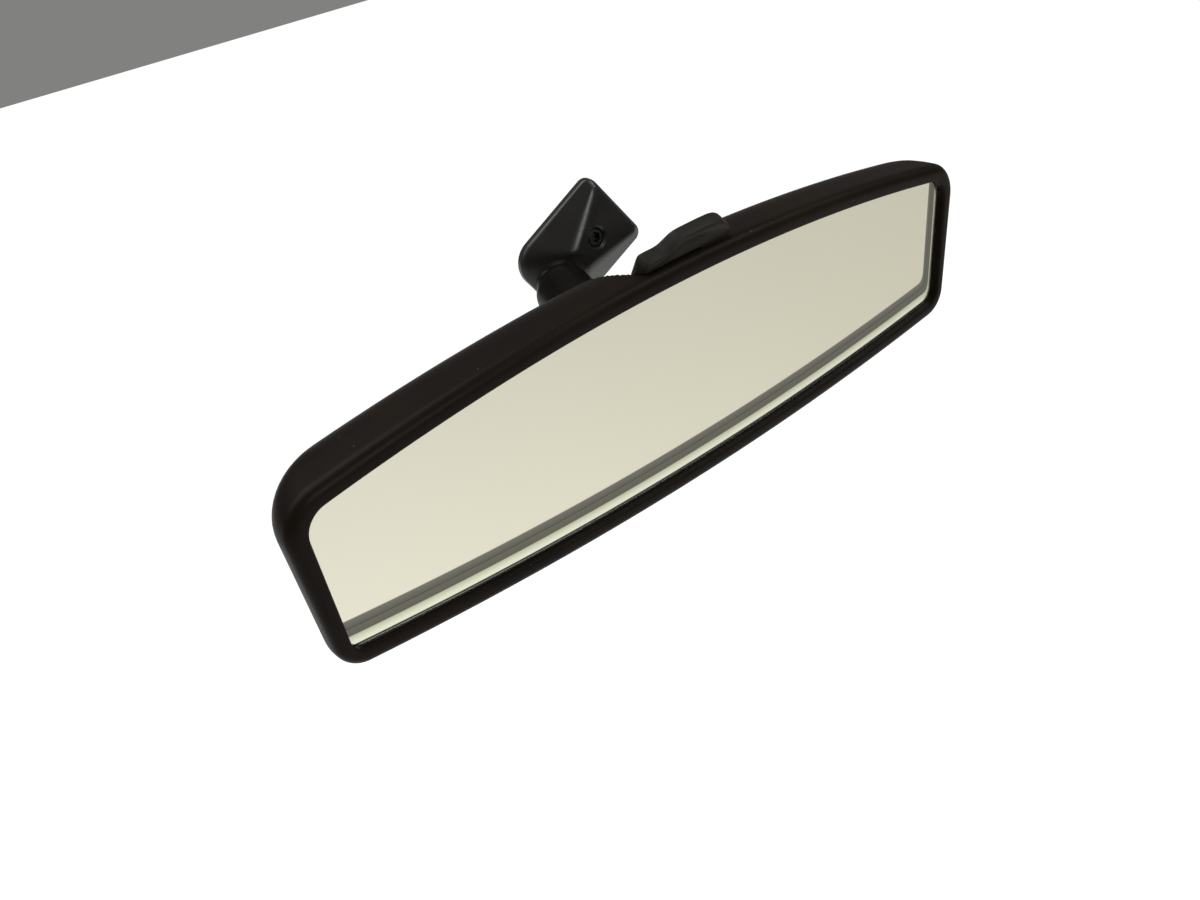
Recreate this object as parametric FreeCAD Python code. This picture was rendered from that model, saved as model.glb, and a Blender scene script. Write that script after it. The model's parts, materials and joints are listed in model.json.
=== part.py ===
import FreeCAD, Part
import math
import os

# Interior rearview mirror: a windscreen foot, a double-ball arm and a prismatic day/night head.
# Millimetres. +X runs along the head, -Y is the side that the driver looks at, +Z is up.
# The origin is the middle of the windscreen button's channel, in the plane of the foot's pad face.
# Head parts are drawn about the middle of the glass opening, at the front of its lip.

Vec = FreeCAD.Vector
X_AXIS = Vec(1, 0, 0)
Y_AXIS = Vec(0, 1, 0)
Z_AXIS = Vec(0, 0, 1)

# ---- Head: outline seen from the driver's side ----
HEAD_HALF_UPPER = 129.1      # half width where the ends' slope meets the top of the arch
HEAD_HALF_LOWER = 120.2      # the same at the bottom of the arch
HEAD_TOP = 35.0              # top of the arch above the middle of the opening
HEAD_BOTTOM = 34.3           # bottom of the arch below it
HEAD_ARCH_UPPER = 697.0      # radius of the upper edge
HEAD_ARCH_LOWER = 999.0      # radius of the lower edge
HEAD_CORNER_UPPER = 11.5
HEAD_CORNER_LOWER = 9.0
OPENING_HALF_UPPER = 122.5
OPENING_HALF_LOWER = 117.1
OPENING_TOP = 29.6
OPENING_BOTTOM = 29.6
OPENING_ARCH_UPPER = 692.0
OPENING_ARCH_LOWER = 995.0
OPENING_CORNER_UPPER = 7.0
OPENING_CORNER_LOWER = 5.0

# ---- Head: depth ----
RIM_ROUND = 3.0              # rounding of the rim's front outer edge
LIP_ROUND = 0.8              # rounding of the lip's front inner edge
LIP_THICK = 2.0              # lip in front of the glass
WALL = 2.0
RIM_DEPTH = 4.0              # straight rim, before the walls start to draw in
STRAIGHT_DEPTH = 9.5         # top and bottom walls run straight back to here
HEAD_DEPTH = 31.5            # the crown would close at this depth
BACK_INSET = 26.0            # how far the crown draws in at the top and bottom
END_INSET = 62.0             # how far it draws in at the ends
CORNER_EASE = 0.16           # how fast the corner radius shrinks with the inset
CROWN_STEPS = 6
CROWN_FLAT = 0.7             # flat back in front of that depth
BACK_OPENING_R = 15.0        # hole in the back for the arm
SCOOP_LEFT = -9.8            # finger scoop round the lever, cut down towards the back
SCOOP_RIGHT = 13.8
SCOOP_FRONT = 5.3
SCOOP_FLARE = 0.53           # how fast it widens towards the back
SCOOP_START = 6.3            # its sloping floor leaves the head's top here
SCOOP_SLOPE = 0.75
SCOOP_CORNER = 2.0

# ---- Prismatic glass and what backs it ----
GLASS_GAP = 0.4              # glass edge to the side wall
GLASS_END_GAP = 0.8          # more of it at the ends, where the walls draw in
GLASS_MID = 4.2              # thickness at mid height
WEDGE_DEG = 3.7              # thin edge up, thick edge down
SILVER_THICK = 0.15
PAD_THICK = 1.0
PAD_INSET = 3.0
CARRIER_THICK = 1.6
CARRIER_GAP = 0.4
CARRIER_END_GAP = 2.3

# ---- Arm and ball joints ----
BALL_R = 7.0
NECK_R = 3.2
CUP_GAP = 0.05               # running clearance either side of a cup
CUP_THICK = 1.0
TUBE_WALL = 1.4
MOUTH_R = 6.6                # opening of the swaged tube end
BALL_SPACING = 46.7
ARM_YAW_DEG = -19.6          # arm's direction from the foot to the head, at rest
ARM_PITCH_DEG = 2.3
SEAT_START = 3.7             # spring seat, from the ball's centre
SEAT_END = 9.4
SEAT_GAP = 0.15
SPRING_WIRE_R = 0.8
SPRING_MEAN_R = 5.8
SPRING_TURNS = 6.5
CUP_INNER_EDGE = 0.2         # cup's edge on the spring side, before the ball's centre
CUP_OUTER_EDGE = 4.2         # cup's edge on the mouth side

# ---- Foot ----
FOOT_TURN_DEG = -15.0        # pad's direction at rest
FOOT_LEAN_DEG = -5.2
FOOT_TWIST_DEG = 145.8
FOOT_THIN_END = -12.75       # thin end along the foot, from the channel's middle
FOOT_BALL_END = 26.6
FOOT_HALF_WIDTH = 14.6
FOOT_THIN_CORNER = 3.6
FOOT_BALL_CORNER = 9.0
FOOT_EDGE_THICK = 3.3
ROOF_THIN_HEIGHT = 5.3
ROOF_THIN_HALF = 11.3
ROOF_THIN_SETBACK = 1.2
ROOF_BALL_HEIGHT = 10.9
ROOF_BALL_HALF = 3.9
ROOF_BALL_POS = 10.6
ROOF_CORNER = 1.6
BOSS_TOP_R = 4.8             # boss that the foot's ball stud stands in
BOSS_FOOT_R = 6.6
FOOT_BALL_POS = 22.3
FOOT_BALL_HEIGHT = 17.0
FOOT_DISH_GAP = 0.5          # dish in the foot clears the swaged tube end
CHANNEL_LENGTH = 25.5
CHANNEL_DEPTH = 3.2
CHANNEL_MOUTH_HALF = 9.5
CHANNEL_FLOOR_HALF = 11.0
FOOT_SHANK_R = 3.7
FOOT_SHANK_START = 10.0      # from the ball's centre
FOOT_SHANK_END = 15.6
FOOT_SHANK_GAP = 0.02
CLAMP_SCREW_POS = 0.6
CLAMP_SCREW_R = 3.0
CLAMP_SCREW_GAP = 0.05
CLAMP_SCREW_LENGTH = 4.4
CLAMP_SCREW_SINK = 0.7       # screw's face below the foot's sloping top
CLAMP_CHAMFER = 0.9          # round the hole's mouth
CLAMP_SCREW_CHAMFER = 0.5
TORX_R = 1.95
TORX_LOBE_R = 0.62
TORX_DEPTH = 2.4

# ---- Day/night mechanism, in head coordinates ----
BALL_IN_CROWN = 5.0          # mirror ball in front of the crown's full depth
TILT_DEG = 4.0               # head's travel from night to day
LEVER_TRAVEL_DEG = 32.0
LEVER_LEAN_DEG = 28.0        # lever towards the driver, at rest
HINGE_Y = 14.5
HINGE_Z = -14.0
HINGE_PIN_R = 1.5
LEVER_Y = 11.0
LEVER_Z = 25.1
LEVER_PIN_R = 1.25
PIN_GAP = 0.04
BASE_FRONT = 13.3
BASE_THICK = 2.5
BASE_HALF_WIDTH = 16.0
BASE_TOP = 18.2
BASE_CORNER = 3.0
BASE_EASE = 0.2              # its two square corners
BARREL_R = 3.0
FLANGE_THICK = 1.0
FLANGE_R = 5.6
STUD_SHANK_R = 2.6
RIVET_R = 4.2
RIVET_THICK = 1.2
FORK_HALF = 6.4
FORK_LOW = 14.0
FORK_ABOVE_PIN = 1.4         # prongs' tips above the crank pin
FORK_BELOW_PIN = 2.3         # slot's floor below it
FORK_PRONG = 1.3
FORK_GAP = 0.12
LUG_GAP = 0.4
LUG_THICK = 3.0
LUG_R = 3.2
PIN_HEAD_R = 2.2
PIN_HEAD_THICK = 0.8
PIN_PROUD = 0.2
LEVER_BARREL_R = 2.6
LEVER_BARREL_HALF = 14.0
CRANK_IN = 7.2
CRANK_THICK = 3.0
CRANK_EASE = 0.05
CRANK_BOSS_R = 2.1
NECK_LEFT = -5.0
NECK_RIGHT = 13.4
NECK_THICK = 2.6
NECK_OVERLAP = 2.4            # neck's end inside the paddle
PADDLE_THICK = 5.0
PADDLE_ROUND = 1.0
SLOT_GAP = 0.6
SLOT_CORNER = 1.5
WINDOW_HALF = 14.4
WINDOW_LOW = 13.0
EAR_THICK = 2.6
EAR_R = 2.9
EAR_EASE = 0.1
LEAF_THICK = 0.3
LEAF_WIDTH = 2.4
LEAF_IN = 11.3
LEAF_LOW = 9.6
LEAF_RISE = 3.0              # height in which it leans out to the lever's barrel
LEAF_BEND_UP = 1.5           # its bend above the lever's pin
LEAF_TIP_UP = 2.7            # and its tip
LEAF_HOOK = 0.9              # tip's lean away from the barrel
BUMPER_R = 3.2
BUMPER_X = 10.5
BUMPER_Z = 6.0
BUMPER_GAP = 0.15
CARRIER_SCREW_Z = 13.0
CARRIER_SCREW_R = 1.5
CARRIER_HEAD_R = 2.9
CARRIER_SCREW_LENGTH = 12.0
CARRIER_SCREW_TIP = 1.0
CARRIER_SCREW_SINK = 0.2
CROSS_LENGTH = 1.3
CROSS_WIDTH = 0.3
CROSS_DEPTH = 0.9
BOSS_R = 3.6
SCREW_PAD_R = 4.8            # carrier's round pad on each boss
CARRIER_BAY_IN = 26.0        # lightening windows either side of the mechanism
CARRIER_BAY_LENGTH = 22.0
CARRIER_BAY_HALF = 19.0
CARRIER_BAY_RIB = 6.0
CARRIER_BAY_COUNT = 3

# ---- Worked out ----
CROWN_END_DEPTH = HEAD_DEPTH - CROWN_FLAT
BALL_DEPTH = HEAD_DEPTH - BALL_IN_CROWN
WEDGE_SLOPE = math.tan(math.radians(WEDGE_DEG))
CUP_IN_R = BALL_R + CUP_GAP
CUP_OUT_R = CUP_IN_R + CUP_THICK
TUBE_IN_R = CUP_OUT_R + CUP_GAP
TUBE_R = TUBE_IN_R + TUBE_WALL
MOUTH_POS = math.sqrt(TUBE_IN_R ** 2 - MOUTH_R ** 2)
BASE_BACK = BASE_FRONT + BASE_THICK
SILVER_BACK = SILVER_THICK
PAD_BACK = SILVER_BACK + PAD_THICK
CARRIER_BACK = PAD_BACK + CARRIER_THICK
CRANK_HALF_TRAVEL = math.radians(LEVER_TRAVEL_DEG / 2)
CRANK_R = (LEVER_Z - HINGE_Z) / (2 * math.sin(CRANK_HALF_TRAVEL) / math.tan(math.radians(TILT_DEG))
                              + math.cos(CRANK_HALF_TRAVEL))
CRANK_Y = LEVER_Y + CRANK_R * math.sin(CRANK_HALF_TRAVEL)
CRANK_Z = LEVER_Z - CRANK_R * math.cos(CRANK_HALF_TRAVEL)
CARRIER_BAY_PITCH = CARRIER_BAY_LENGTH + CARRIER_BAY_RIB
CARRIER_SCREW_X = CARRIER_BAY_IN + CARRIER_BAY_PITCH - CARRIER_BAY_RIB / 2   # on the first rib
REACH = 400.0                # longer than anything here
NEAR = 0.01                  # tells a shape's own edges and faces apart
OVERCUT = 2.0                # cutting tools' run past a surface


# ---- Frames ----

def foot_rotation():
    """Turn from the foot's own axes (length, width, up from the pad) to the part's."""
    turn = FreeCAD.Rotation(Z_AXIS, FOOT_TURN_DEG)
    lean = FreeCAD.Rotation(X_AXIS, FOOT_LEAN_DEG)
    twist = FreeCAD.Rotation(Y_AXIS, FOOT_TWIST_DEG)
    upright = FreeCAD.Rotation(X_AXIS, 90)
    return turn.multiply(lean).multiply(twist).multiply(upright)


def arm_direction():
    """Unit vector from the foot's ball to the mirror's ball."""
    turn = FreeCAD.Rotation(Z_AXIS, ARM_YAW_DEG)
    lean = FreeCAD.Rotation(X_AXIS, ARM_PITCH_DEG)
    return turn.multiply(lean).multVec(Vec(0, -1, 0))


FOOT_BALL = foot_rotation().multVec(Vec(FOOT_BALL_POS, 0, FOOT_BALL_HEIGHT))
ARM = arm_direction()
MIRROR_BALL = FOOT_BALL + ARM * BALL_SPACING
HEAD = MIRROR_BALL - Vec(0, BALL_DEPTH, 0)
# The mirror cup turns sideways with the head and nods with the arm.
MIRROR_CUP_AXIS = FreeCAD.Rotation(X_AXIS, ARM_PITCH_DEG).multVec(Vec(0, -1, 0))


def on_head(shape):
    """Move a shape from head coordinates to the part's frame."""
    moved = shape.copy()
    moved.translate(HEAD)
    return moved


def on_foot(shape):
    """Move a shape from the foot's own axes to the part's frame."""
    moved = shape.copy()
    moved.Placement = FreeCAD.Placement(Vec(0, 0, 0), foot_rotation()).multiply(moved.Placement)
    return moved


# ---- Drawing helpers ----

def box(low, high):
    """Box between two corners."""
    size = high - low
    return Part.makeBox(size.x, size.y, size.z, low)


def rod(radius, start, end):
    """Cylinder between two points."""
    axis = end - start
    return Part.makeCylinder(radius, axis.Length, start, axis)


def cross_rod(radius, y, z, x_from, x_to):
    """Cylinder along X at one depth and height."""
    return rod(radius, Vec(x_from, y, z), Vec(x_to, y, z))


def rounded_loop(points, radii):
    """Closed wire through corner points, each corner rounded by its own radius."""
    edges = []
    starts = []
    ends = []
    count = len(points)
    for index, corner in enumerate(points):
        before = points[index - 1] - corner
        after = points[(index + 1) % count] - corner
        before.normalize()
        after.normalize()
        half = before.getAngle(after) / 2
        reach = radii[index] / math.tan(half)
        bisector = before + after
        bisector.normalize()
        centre = corner + bisector * (radii[index] / math.sin(half))
        starts.append(corner + before * reach)
        ends.append(corner + after * reach)
        middle = centre - bisector * radii[index]
        edges.append(Part.Arc(starts[-1], middle, ends[-1]).toShape())
    closed = []
    for index in range(count):
        closed.append(edges[index])
        closed.append(Part.LineSegment(ends[index], starts[(index + 1) % count]).toShape())
    return Part.Wire(closed)


def turned(steps, base, direction):
    """Turned solid. A step is (axial, radius), or (via axial, via radius, axial, radius) for an arc."""
    points = [Vec(steps[0][1], 0, steps[0][0])]
    edges = []
    for step in steps[1:]:
        target = Vec(step[-1], 0, step[-2])
        if len(step) == 4:
            edges.append(Part.Arc(points[-1], Vec(step[1], 0, step[0]), target).toShape())
        else:
            edges.append(Part.LineSegment(points[-1], target).toShape())
        points.append(target)
    if points[-1].distanceToPoint(points[0]) > 1e-6:
        edges.append(Part.LineSegment(points[-1], points[0]).toShape())
    solid = Part.Face(Part.Wire(edges)).revolve(Vec(0, 0, 0), Z_AXIS, 360)
    solid.Placement = FreeCAD.Placement(base, FreeCAD.Rotation(Z_AXIS, direction))
    return solid


def on_ball(radius, angle_deg, centre=0.0):
    """Axial place and radius of a point on a sphere, by its angle from the axis."""
    angle = math.radians(angle_deg)
    return (centre + radius * math.cos(angle), radius * math.sin(angle))


def arch_corner(side, half_mid, taper, arch, arch_centre, corner):
    """Tangent points and middle of the corner between a sloping end and an arch."""
    slant = math.hypot(1.0, taper)
    along = Vec(taper / slant, 0, 1.0 / slant)
    inward = Vec(-1.0 / slant, 0, taper / slant)
    start = Vec(half_mid, 0, 0) + inward * corner
    offset = start - Vec(0, 0, arch_centre)
    dot = offset.dot(along)
    travel = -dot + side * math.sqrt(dot ** 2 - offset.dot(offset) + (arch - corner) ** 2)
    centre = start + along * travel
    on_end = centre - inward * corner
    outward = centre - Vec(0, 0, arch_centre)
    outward.normalize()
    on_arch = centre + outward * corner
    middle = (on_end - centre) + (on_arch - centre)
    middle.normalize()
    return on_end, centre + middle * corner, on_arch


def arched_loop(half_upper, half_lower, top, bottom, arches, corners, depth):
    """Head outline: two shallow arches, two sloping ends and four round corners."""
    taper = (half_upper - half_lower) / (top + bottom)
    half_mid = (half_upper + half_lower) / 2
    upper_centre = top - arches[0]
    lower_centre = arches[1] - bottom
    upper_end, upper_mid, upper_arch = arch_corner(1, half_mid, taper, arches[0], upper_centre, corners[0])
    lower_end, lower_mid, lower_arch = arch_corner(-1, half_mid, taper, arches[1], lower_centre, corners[1])

    def flip(point):
        return Vec(-point.x, point.y, point.z)

    edges = [
        Part.Arc(flip(upper_arch), Vec(0, 0, top), upper_arch),
        Part.Arc(upper_arch, upper_mid, upper_end),
        Part.LineSegment(upper_end, lower_end),
        Part.Arc(lower_end, lower_mid, lower_arch),
        Part.Arc(lower_arch, Vec(0, 0, -bottom), flip(lower_arch)),
        Part.Arc(flip(lower_arch), flip(lower_mid), flip(lower_end)),
        Part.LineSegment(flip(lower_end), flip(upper_end)),
        Part.Arc(flip(upper_end), flip(upper_mid), flip(upper_arch)),
    ]
    wire = Part.Wire([edge.toShape() for edge in edges])
    wire.translate(Vec(0, depth, 0))
    return wire


def head_loop(inset, depth, end_extra=0.0):
    """The head's outer outline, drawn in by an inset, with more of it at the ends."""
    ease = CORNER_EASE * inset
    end_inset = inset + end_extra
    return arched_loop(
        HEAD_HALF_UPPER - end_inset, HEAD_HALF_LOWER - end_inset, HEAD_TOP - inset, HEAD_BOTTOM - inset,
        (HEAD_ARCH_UPPER - inset, HEAD_ARCH_LOWER - inset),
        (HEAD_CORNER_UPPER - ease, HEAD_CORNER_LOWER - ease), depth)


def opening_loop(depth):
    """Outline of the lip's opening."""
    return arched_loop(
        OPENING_HALF_UPPER, OPENING_HALF_LOWER, OPENING_TOP, OPENING_BOTTOM,
        (OPENING_ARCH_UPPER, OPENING_ARCH_LOWER), (OPENING_CORNER_UPPER, OPENING_CORNER_LOWER), depth)


def prism(loop, length):
    """Solid from a flat loop, pushed back along Y."""
    return Part.Face(loop).extrude(Vec(0, length, 0))


def edges_at_depth(shape, depth):
    """Edges that lie wholly in one plane of constant Y."""
    found = []
    for edge in shape.Edges:
        bounds = edge.BoundBox
        if abs(bounds.YMin - depth) < NEAR and abs(bounds.YMax - depth) < NEAR:
            found.append(edge)
    return found


def crown_inset(depth, start, reach):
    """Elliptical draw-in of a wall at a depth, from where it starts to bend."""
    share = max(0.0, depth - start) / (HEAD_DEPTH - start)
    return reach * (1 - math.sqrt(1 - share ** 2))


def crown(wall):
    """Head's volume behind its rim, drawn in by a wall thickness."""
    loops = []
    span = CROWN_END_DEPTH - RIM_DEPTH
    for step in range(CROWN_STEPS + 1):
        depth = RIM_DEPTH + span * math.sin(math.pi / 2 * step / CROWN_STEPS)
        side = crown_inset(depth, STRAIGHT_DEPTH, BACK_INSET)
        end = crown_inset(depth, RIM_DEPTH, END_INSET)
        inner_depth = RIM_DEPTH + (depth - RIM_DEPTH) * (span - wall) / span
        loops.append(head_loop(side + wall, inner_depth, end - side))
    return Part.makeLoft(loops, True, False)


def glass_wedge(near, far):
    """Slab parallel to the glass's back face, from one distance behind it to another."""
    half = REACH / 2
    corners = []
    for distance, height in ((near, -half), (near, half), (far, half), (far, -half)):
        depth = LIP_THICK + GLASS_MID - WEDGE_SLOPE * height + distance
        corners.append(Vec(-half, depth, height))
    corners.append(corners[0])
    return Part.Face(Part.makePolygon(corners)).extrude(Vec(REACH, 0, 0))


def carrier_back_depth(height):
    """Depth of the carrier's back face at a height."""
    return LIP_THICK + GLASS_MID - WEDGE_SLOPE * height + CARRIER_BACK


def side_plate(points, radius, x_from, x_to):
    """Plate in the YZ plane with rounded corners, between two X positions."""
    loop = rounded_loop([Vec(x_from, y, z) for y, z in points], [radius] * len(points))
    return Part.Face(loop).extrude(Vec(x_to - x_from, 0, 0))


def both_sides(make, near, far):
    """The same plate on the left and on the right."""
    return [make(near, far), make(-far, -near)]


# ---- Head shell ----

def finger_scoop(extra):
    """Volume that the finger scoop takes from the head's top, or from its cavity when grown."""
    front = SCOOP_FRONT - extra
    back = HEAD_DEPTH + WALL
    widen = extra * (math.hypot(1, SCOOP_FLARE) - SCOOP_FLARE)
    spread = SCOOP_FLARE * (back - front)
    left = SCOOP_LEFT - widen
    right = SCOOP_RIGHT + widen
    corners = [
        Vec(left, front, 0), Vec(right, front, 0),
        Vec(right + spread, back, 0), Vec(left - spread, back, 0)]
    outline = rounded_loop(corners, [SCOOP_CORNER + extra] * 4)
    column = Part.Face(outline).extrude(Vec(0, 0, REACH / 4))
    drop = extra * math.hypot(1, SCOOP_SLOPE)
    profile = []
    for depth, rise in ((-REACH / 8, 0), (REACH / 8, 0), (REACH / 8, REACH / 2), (-REACH / 8, REACH / 2)):
        floor = HEAD_TOP - SCOOP_SLOPE * (depth - SCOOP_START) - drop
        profile.append(Vec(-REACH / 8, depth, floor + rise))
    profile.append(profile[0])
    return column.common(Part.Face(Part.makePolygon(profile)).extrude(Vec(REACH / 4, 0, 0)))


def lever_slot():
    """Slot in the top wall that the lever's neck swings in."""
    lean = math.radians(LEVER_LEAN_DEG)
    upright = math.radians(LEVER_LEAN_DEG - LEVER_TRAVEL_DEG)
    wall_low = HEAD_TOP - WALL - LEVER_Z
    wall_high = HEAD_TOP - LEVER_Z
    front = LEVER_Y - wall_high * math.tan(lean) - NECK_THICK / 2 / math.cos(lean) - SLOT_GAP
    back = LEVER_Y - wall_low * math.tan(upright) + NECK_THICK / 2 / math.cos(upright) + SLOT_GAP
    left = NECK_LEFT - SLOT_GAP
    right = NECK_RIGHT + SLOT_GAP
    low = LEVER_Z + LEVER_BARREL_R / 2
    points = [Vec(left, front, low), Vec(right, front, low), Vec(right, back, low), Vec(left, back, low)]
    loop = rounded_loop(points, [SLOT_CORNER] * 4)
    return Part.Face(loop).extrude(Vec(0, 0, HEAD_TOP))


def screw_places():
    """Axes of the four carrier screws, as (x, z)."""
    return [(x, z) for x in (-CARRIER_SCREW_X, CARRIER_SCREW_X) for z in (-CARRIER_SCREW_Z, CARRIER_SCREW_Z)]


def head_outside():
    """Outer volume of the housing with its rounded rim and opening."""
    front = prism(head_loop(0, 0), RIM_DEPTH)
    front = front.makeFillet(RIM_ROUND, edges_at_depth(front, 0))
    front = front.cut(prism(opening_loop(-1), LIP_THICK + 2))
    inner_edges = []
    for edge in edges_at_depth(front, 0):
        if edge.BoundBox.XMax < OPENING_HALF_UPPER + 0.1 and edge.BoundBox.ZMax < OPENING_TOP + 0.1:
            inner_edges.append(edge)
    front = front.makeFillet(LIP_ROUND, inner_edges)
    return front.fuse(crown(0)).cut(finger_scoop(0))


def head_cavity():
    """Hollow behind the lip."""
    front = prism(head_loop(WALL, LIP_THICK), RIM_DEPTH - LIP_THICK)
    return front.fuse(crown(WALL)).cut(finger_scoop(WALL))


def housing():
    """Moulded shell: rim, lip, side walls and crowned back, with screw bosses inside."""
    cavity = head_cavity()
    shell = head_outside().cut(cavity)
    bosses = []
    for x, z in screw_places():
        boss = rod(BOSS_R, Vec(x, LIP_THICK, z), Vec(x, HEAD_DEPTH, z))
        boss = boss.common(cavity).cut(glass_wedge(-REACH / 8, CARRIER_BACK))
        bosses.append(boss)
    shell = shell.fuse(bosses)
    for x, z in screw_places():
        depth = carrier_back_depth(z)
        hole_end = depth + CARRIER_SCREW_LENGTH - CARRIER_THICK + PIN_GAP
        shell = shell.cut(rod(CARRIER_SCREW_R + PIN_GAP / 2, Vec(x, depth - 1, z), Vec(x, hole_end, z)))
    arm_hole = rod(BACK_OPENING_R, Vec(0, HEAD_DEPTH - WALL * 4, 0), Vec(0, HEAD_DEPTH + 1, 0))
    shell = shell.cut(arm_hole).cut(lever_slot())
    return on_head(shell.removeSplitter())


# ---- Glass and its backing ----

def mirror_glass():
    """Wedge of clear glass, flat on the lip."""
    blank = prism(head_loop(WALL + GLASS_GAP, LIP_THICK, GLASS_END_GAP), HEAD_DEPTH / 2)
    return on_head(blank.cut(glass_wedge(0, REACH / 8)))


def backing_layer(inset, end_gap, near, far):
    """Layer parallel to the glass's back."""
    blank = prism(head_loop(inset, LIP_THICK, end_gap), HEAD_DEPTH / 2)
    return blank.common(glass_wedge(near, far))


def silver_backing():
    """Silver and its protective paint on the glass's back."""
    return on_head(backing_layer(WALL + GLASS_GAP, GLASS_END_GAP, 0, SILVER_BACK))


def glass_pad():
    """Foam pad between the glass and the carrier, open behind the mechanism."""
    pad = backing_layer(WALL + PAD_INSET, GLASS_END_GAP, SILVER_BACK, PAD_BACK)
    window = box(Vec(-WINDOW_HALF, 0, WINDOW_LOW), Vec(WINDOW_HALF, STRAIGHT_DEPTH * 2, HEAD_TOP))
    return on_head(pad.cut(window))


# ---- Carrier ----

def carrier_windows():
    """Openings that lighten the carrier and the one that the mechanism reaches through."""
    cuts = [box(Vec(-WINDOW_HALF, 0, WINDOW_LOW), Vec(WINDOW_HALF, REACH / 8, HEAD_TOP))]
    for index in range(CARRIER_BAY_COUNT):
        near = CARRIER_BAY_IN + index * CARRIER_BAY_PITCH
        far = near + CARRIER_BAY_LENGTH
        for low, high in ((near, far), (-far, -near)):
            corners = [
                Vec(low, 0, -CARRIER_BAY_HALF), Vec(high, 0, -CARRIER_BAY_HALF),
                Vec(high, 0, CARRIER_BAY_HALF), Vec(low, 0, CARRIER_BAY_HALF)]
            cuts.append(prism(rounded_loop(corners, [BASE_CORNER] * 4), REACH / 8))
    return cuts


def hinge_lug(near, far):
    """Carrier lug that holds one end of the hinge pin."""
    root = carrier_back_depth(HINGE_Z) - CARRIER_THICK / 2
    points = [(root, HINGE_Z - LUG_R - 1), (root, HINGE_Z + LUG_R + 1),
              (HINGE_Y, HINGE_Z + LUG_R), (HINGE_Y, HINGE_Z - LUG_R)]
    block = side_plate(points, EAR_EASE, near, far)
    return block.fuse(cross_rod(LUG_R, HINGE_Y, HINGE_Z, near, far))


def lever_ear(near, far):
    """Carrier ear that holds one end of the lever's pin."""
    root = carrier_back_depth(LEVER_Z) - CARRIER_THICK / 2
    points = [(root, LEVER_Z - EAR_R - 2), (root, LEVER_Z + EAR_R),
              (LEVER_Y, LEVER_Z + EAR_R), (LEVER_Y, LEVER_Z - EAR_R)]
    block = side_plate(points, EAR_EASE, near, far)
    return block.fuse(cross_rod(EAR_R, LEVER_Y, LEVER_Z, near, far))


def carrier_plate():
    """Moulded plate behind the glass that carries both pivots, screwed to the housing's bosses."""
    plate = backing_layer(WALL + CARRIER_GAP, CARRIER_END_GAP, PAD_BACK, CARRIER_BACK)
    plate = plate.cut(carrier_windows()).cut(finger_scoop(WALL + CARRIER_GAP))
    for x, z in screw_places():
        pad = prism(Part.Wire(Part.makeCircle(SCREW_PAD_R, Vec(x, LIP_THICK, z), Y_AXIS)), REACH / 8)
        plate = plate.fuse(pad.common(glass_wedge(PAD_BACK, CARRIER_BACK)))
    lug_in = BASE_HALF_WIDTH + LUG_GAP
    ear_in = WINDOW_HALF + LUG_GAP
    lugs = both_sides(hinge_lug, lug_in, lug_in + LUG_THICK)
    ears = both_sides(lever_ear, ear_in, ear_in + EAR_THICK)
    plate = plate.fuse(lugs + ears)
    plate = plate.cut(cross_rod(HINGE_PIN_R + PIN_GAP, HINGE_Y, HINGE_Z, -REACH / 8, REACH / 8))
    plate = plate.cut(cross_rod(LEVER_PIN_R + PIN_GAP, LEVER_Y, LEVER_Z, -REACH / 8, REACH / 8))
    plate = plate.cut([carrier_screw(x, z, PIN_GAP) for x, z in screw_places()])
    return on_head(plate.removeSplitter())


def carrier_screw(x, z, grow):
    """Countersunk screw, or its hole when grown by a clearance."""
    face = carrier_back_depth(z) - CARRIER_THICK + CARRIER_SCREW_SINK
    head_depth = CARRIER_HEAD_R - CARRIER_SCREW_R
    shank = CARRIER_SCREW_R + grow
    steps = [(-OVERCUT, 0), (-OVERCUT, CARRIER_HEAD_R + grow), (0, CARRIER_HEAD_R + grow),
             (head_depth, shank), (CARRIER_SCREW_LENGTH - CARRIER_SCREW_TIP - CARRIER_SCREW_SINK, shank),
             (CARRIER_SCREW_LENGTH - CARRIER_SCREW_SINK, 0)]
    if grow == 0:
        steps = [(0, 0)] + steps[2:]
    return turned(steps, Vec(x, face, z), Y_AXIS)


def carrier_screws():
    """Four screws with cross recesses that hold the carrier to the housing."""
    screws = []
    for x, z in screw_places():
        face = carrier_back_depth(z) - CARRIER_THICK + CARRIER_SCREW_SINK
        screw = carrier_screw(x, z, 0)
        for wide, high in ((CROSS_LENGTH, CROSS_WIDTH), (CROSS_WIDTH, CROSS_LENGTH)):
            slot = box(Vec(x - wide, face - OVERCUT, z - high), Vec(x + wide, face + CROSS_DEPTH, z + high))
            screw = screw.cut(slot)
        screws.append(screw)
    return on_head(Part.Compound(screws))


# ---- Day/night mechanism ----

def pivot_pin(radius, half_length, y, z):
    """Straight pin along X with a small head at its left end."""
    pin = cross_rod(radius, y, z, -half_length, half_length)
    head = cross_rod(PIN_HEAD_R, y, z, -half_length - PIN_HEAD_THICK, -half_length)
    return on_head(pin.fuse(head).removeSplitter())


def hinge_pin():
    """Pin that the head tilts on."""
    return pivot_pin(HINGE_PIN_R, BASE_HALF_WIDTH + LUG_GAP + LUG_THICK + PIN_PROUD, HINGE_Y, HINGE_Z)


def lever_pin():
    """Pin that the lever turns on."""
    return pivot_pin(LEVER_PIN_R, WINDOW_HALF + LUG_GAP + EAR_THICK + PIN_PROUD, LEVER_Y, LEVER_Z)


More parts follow.
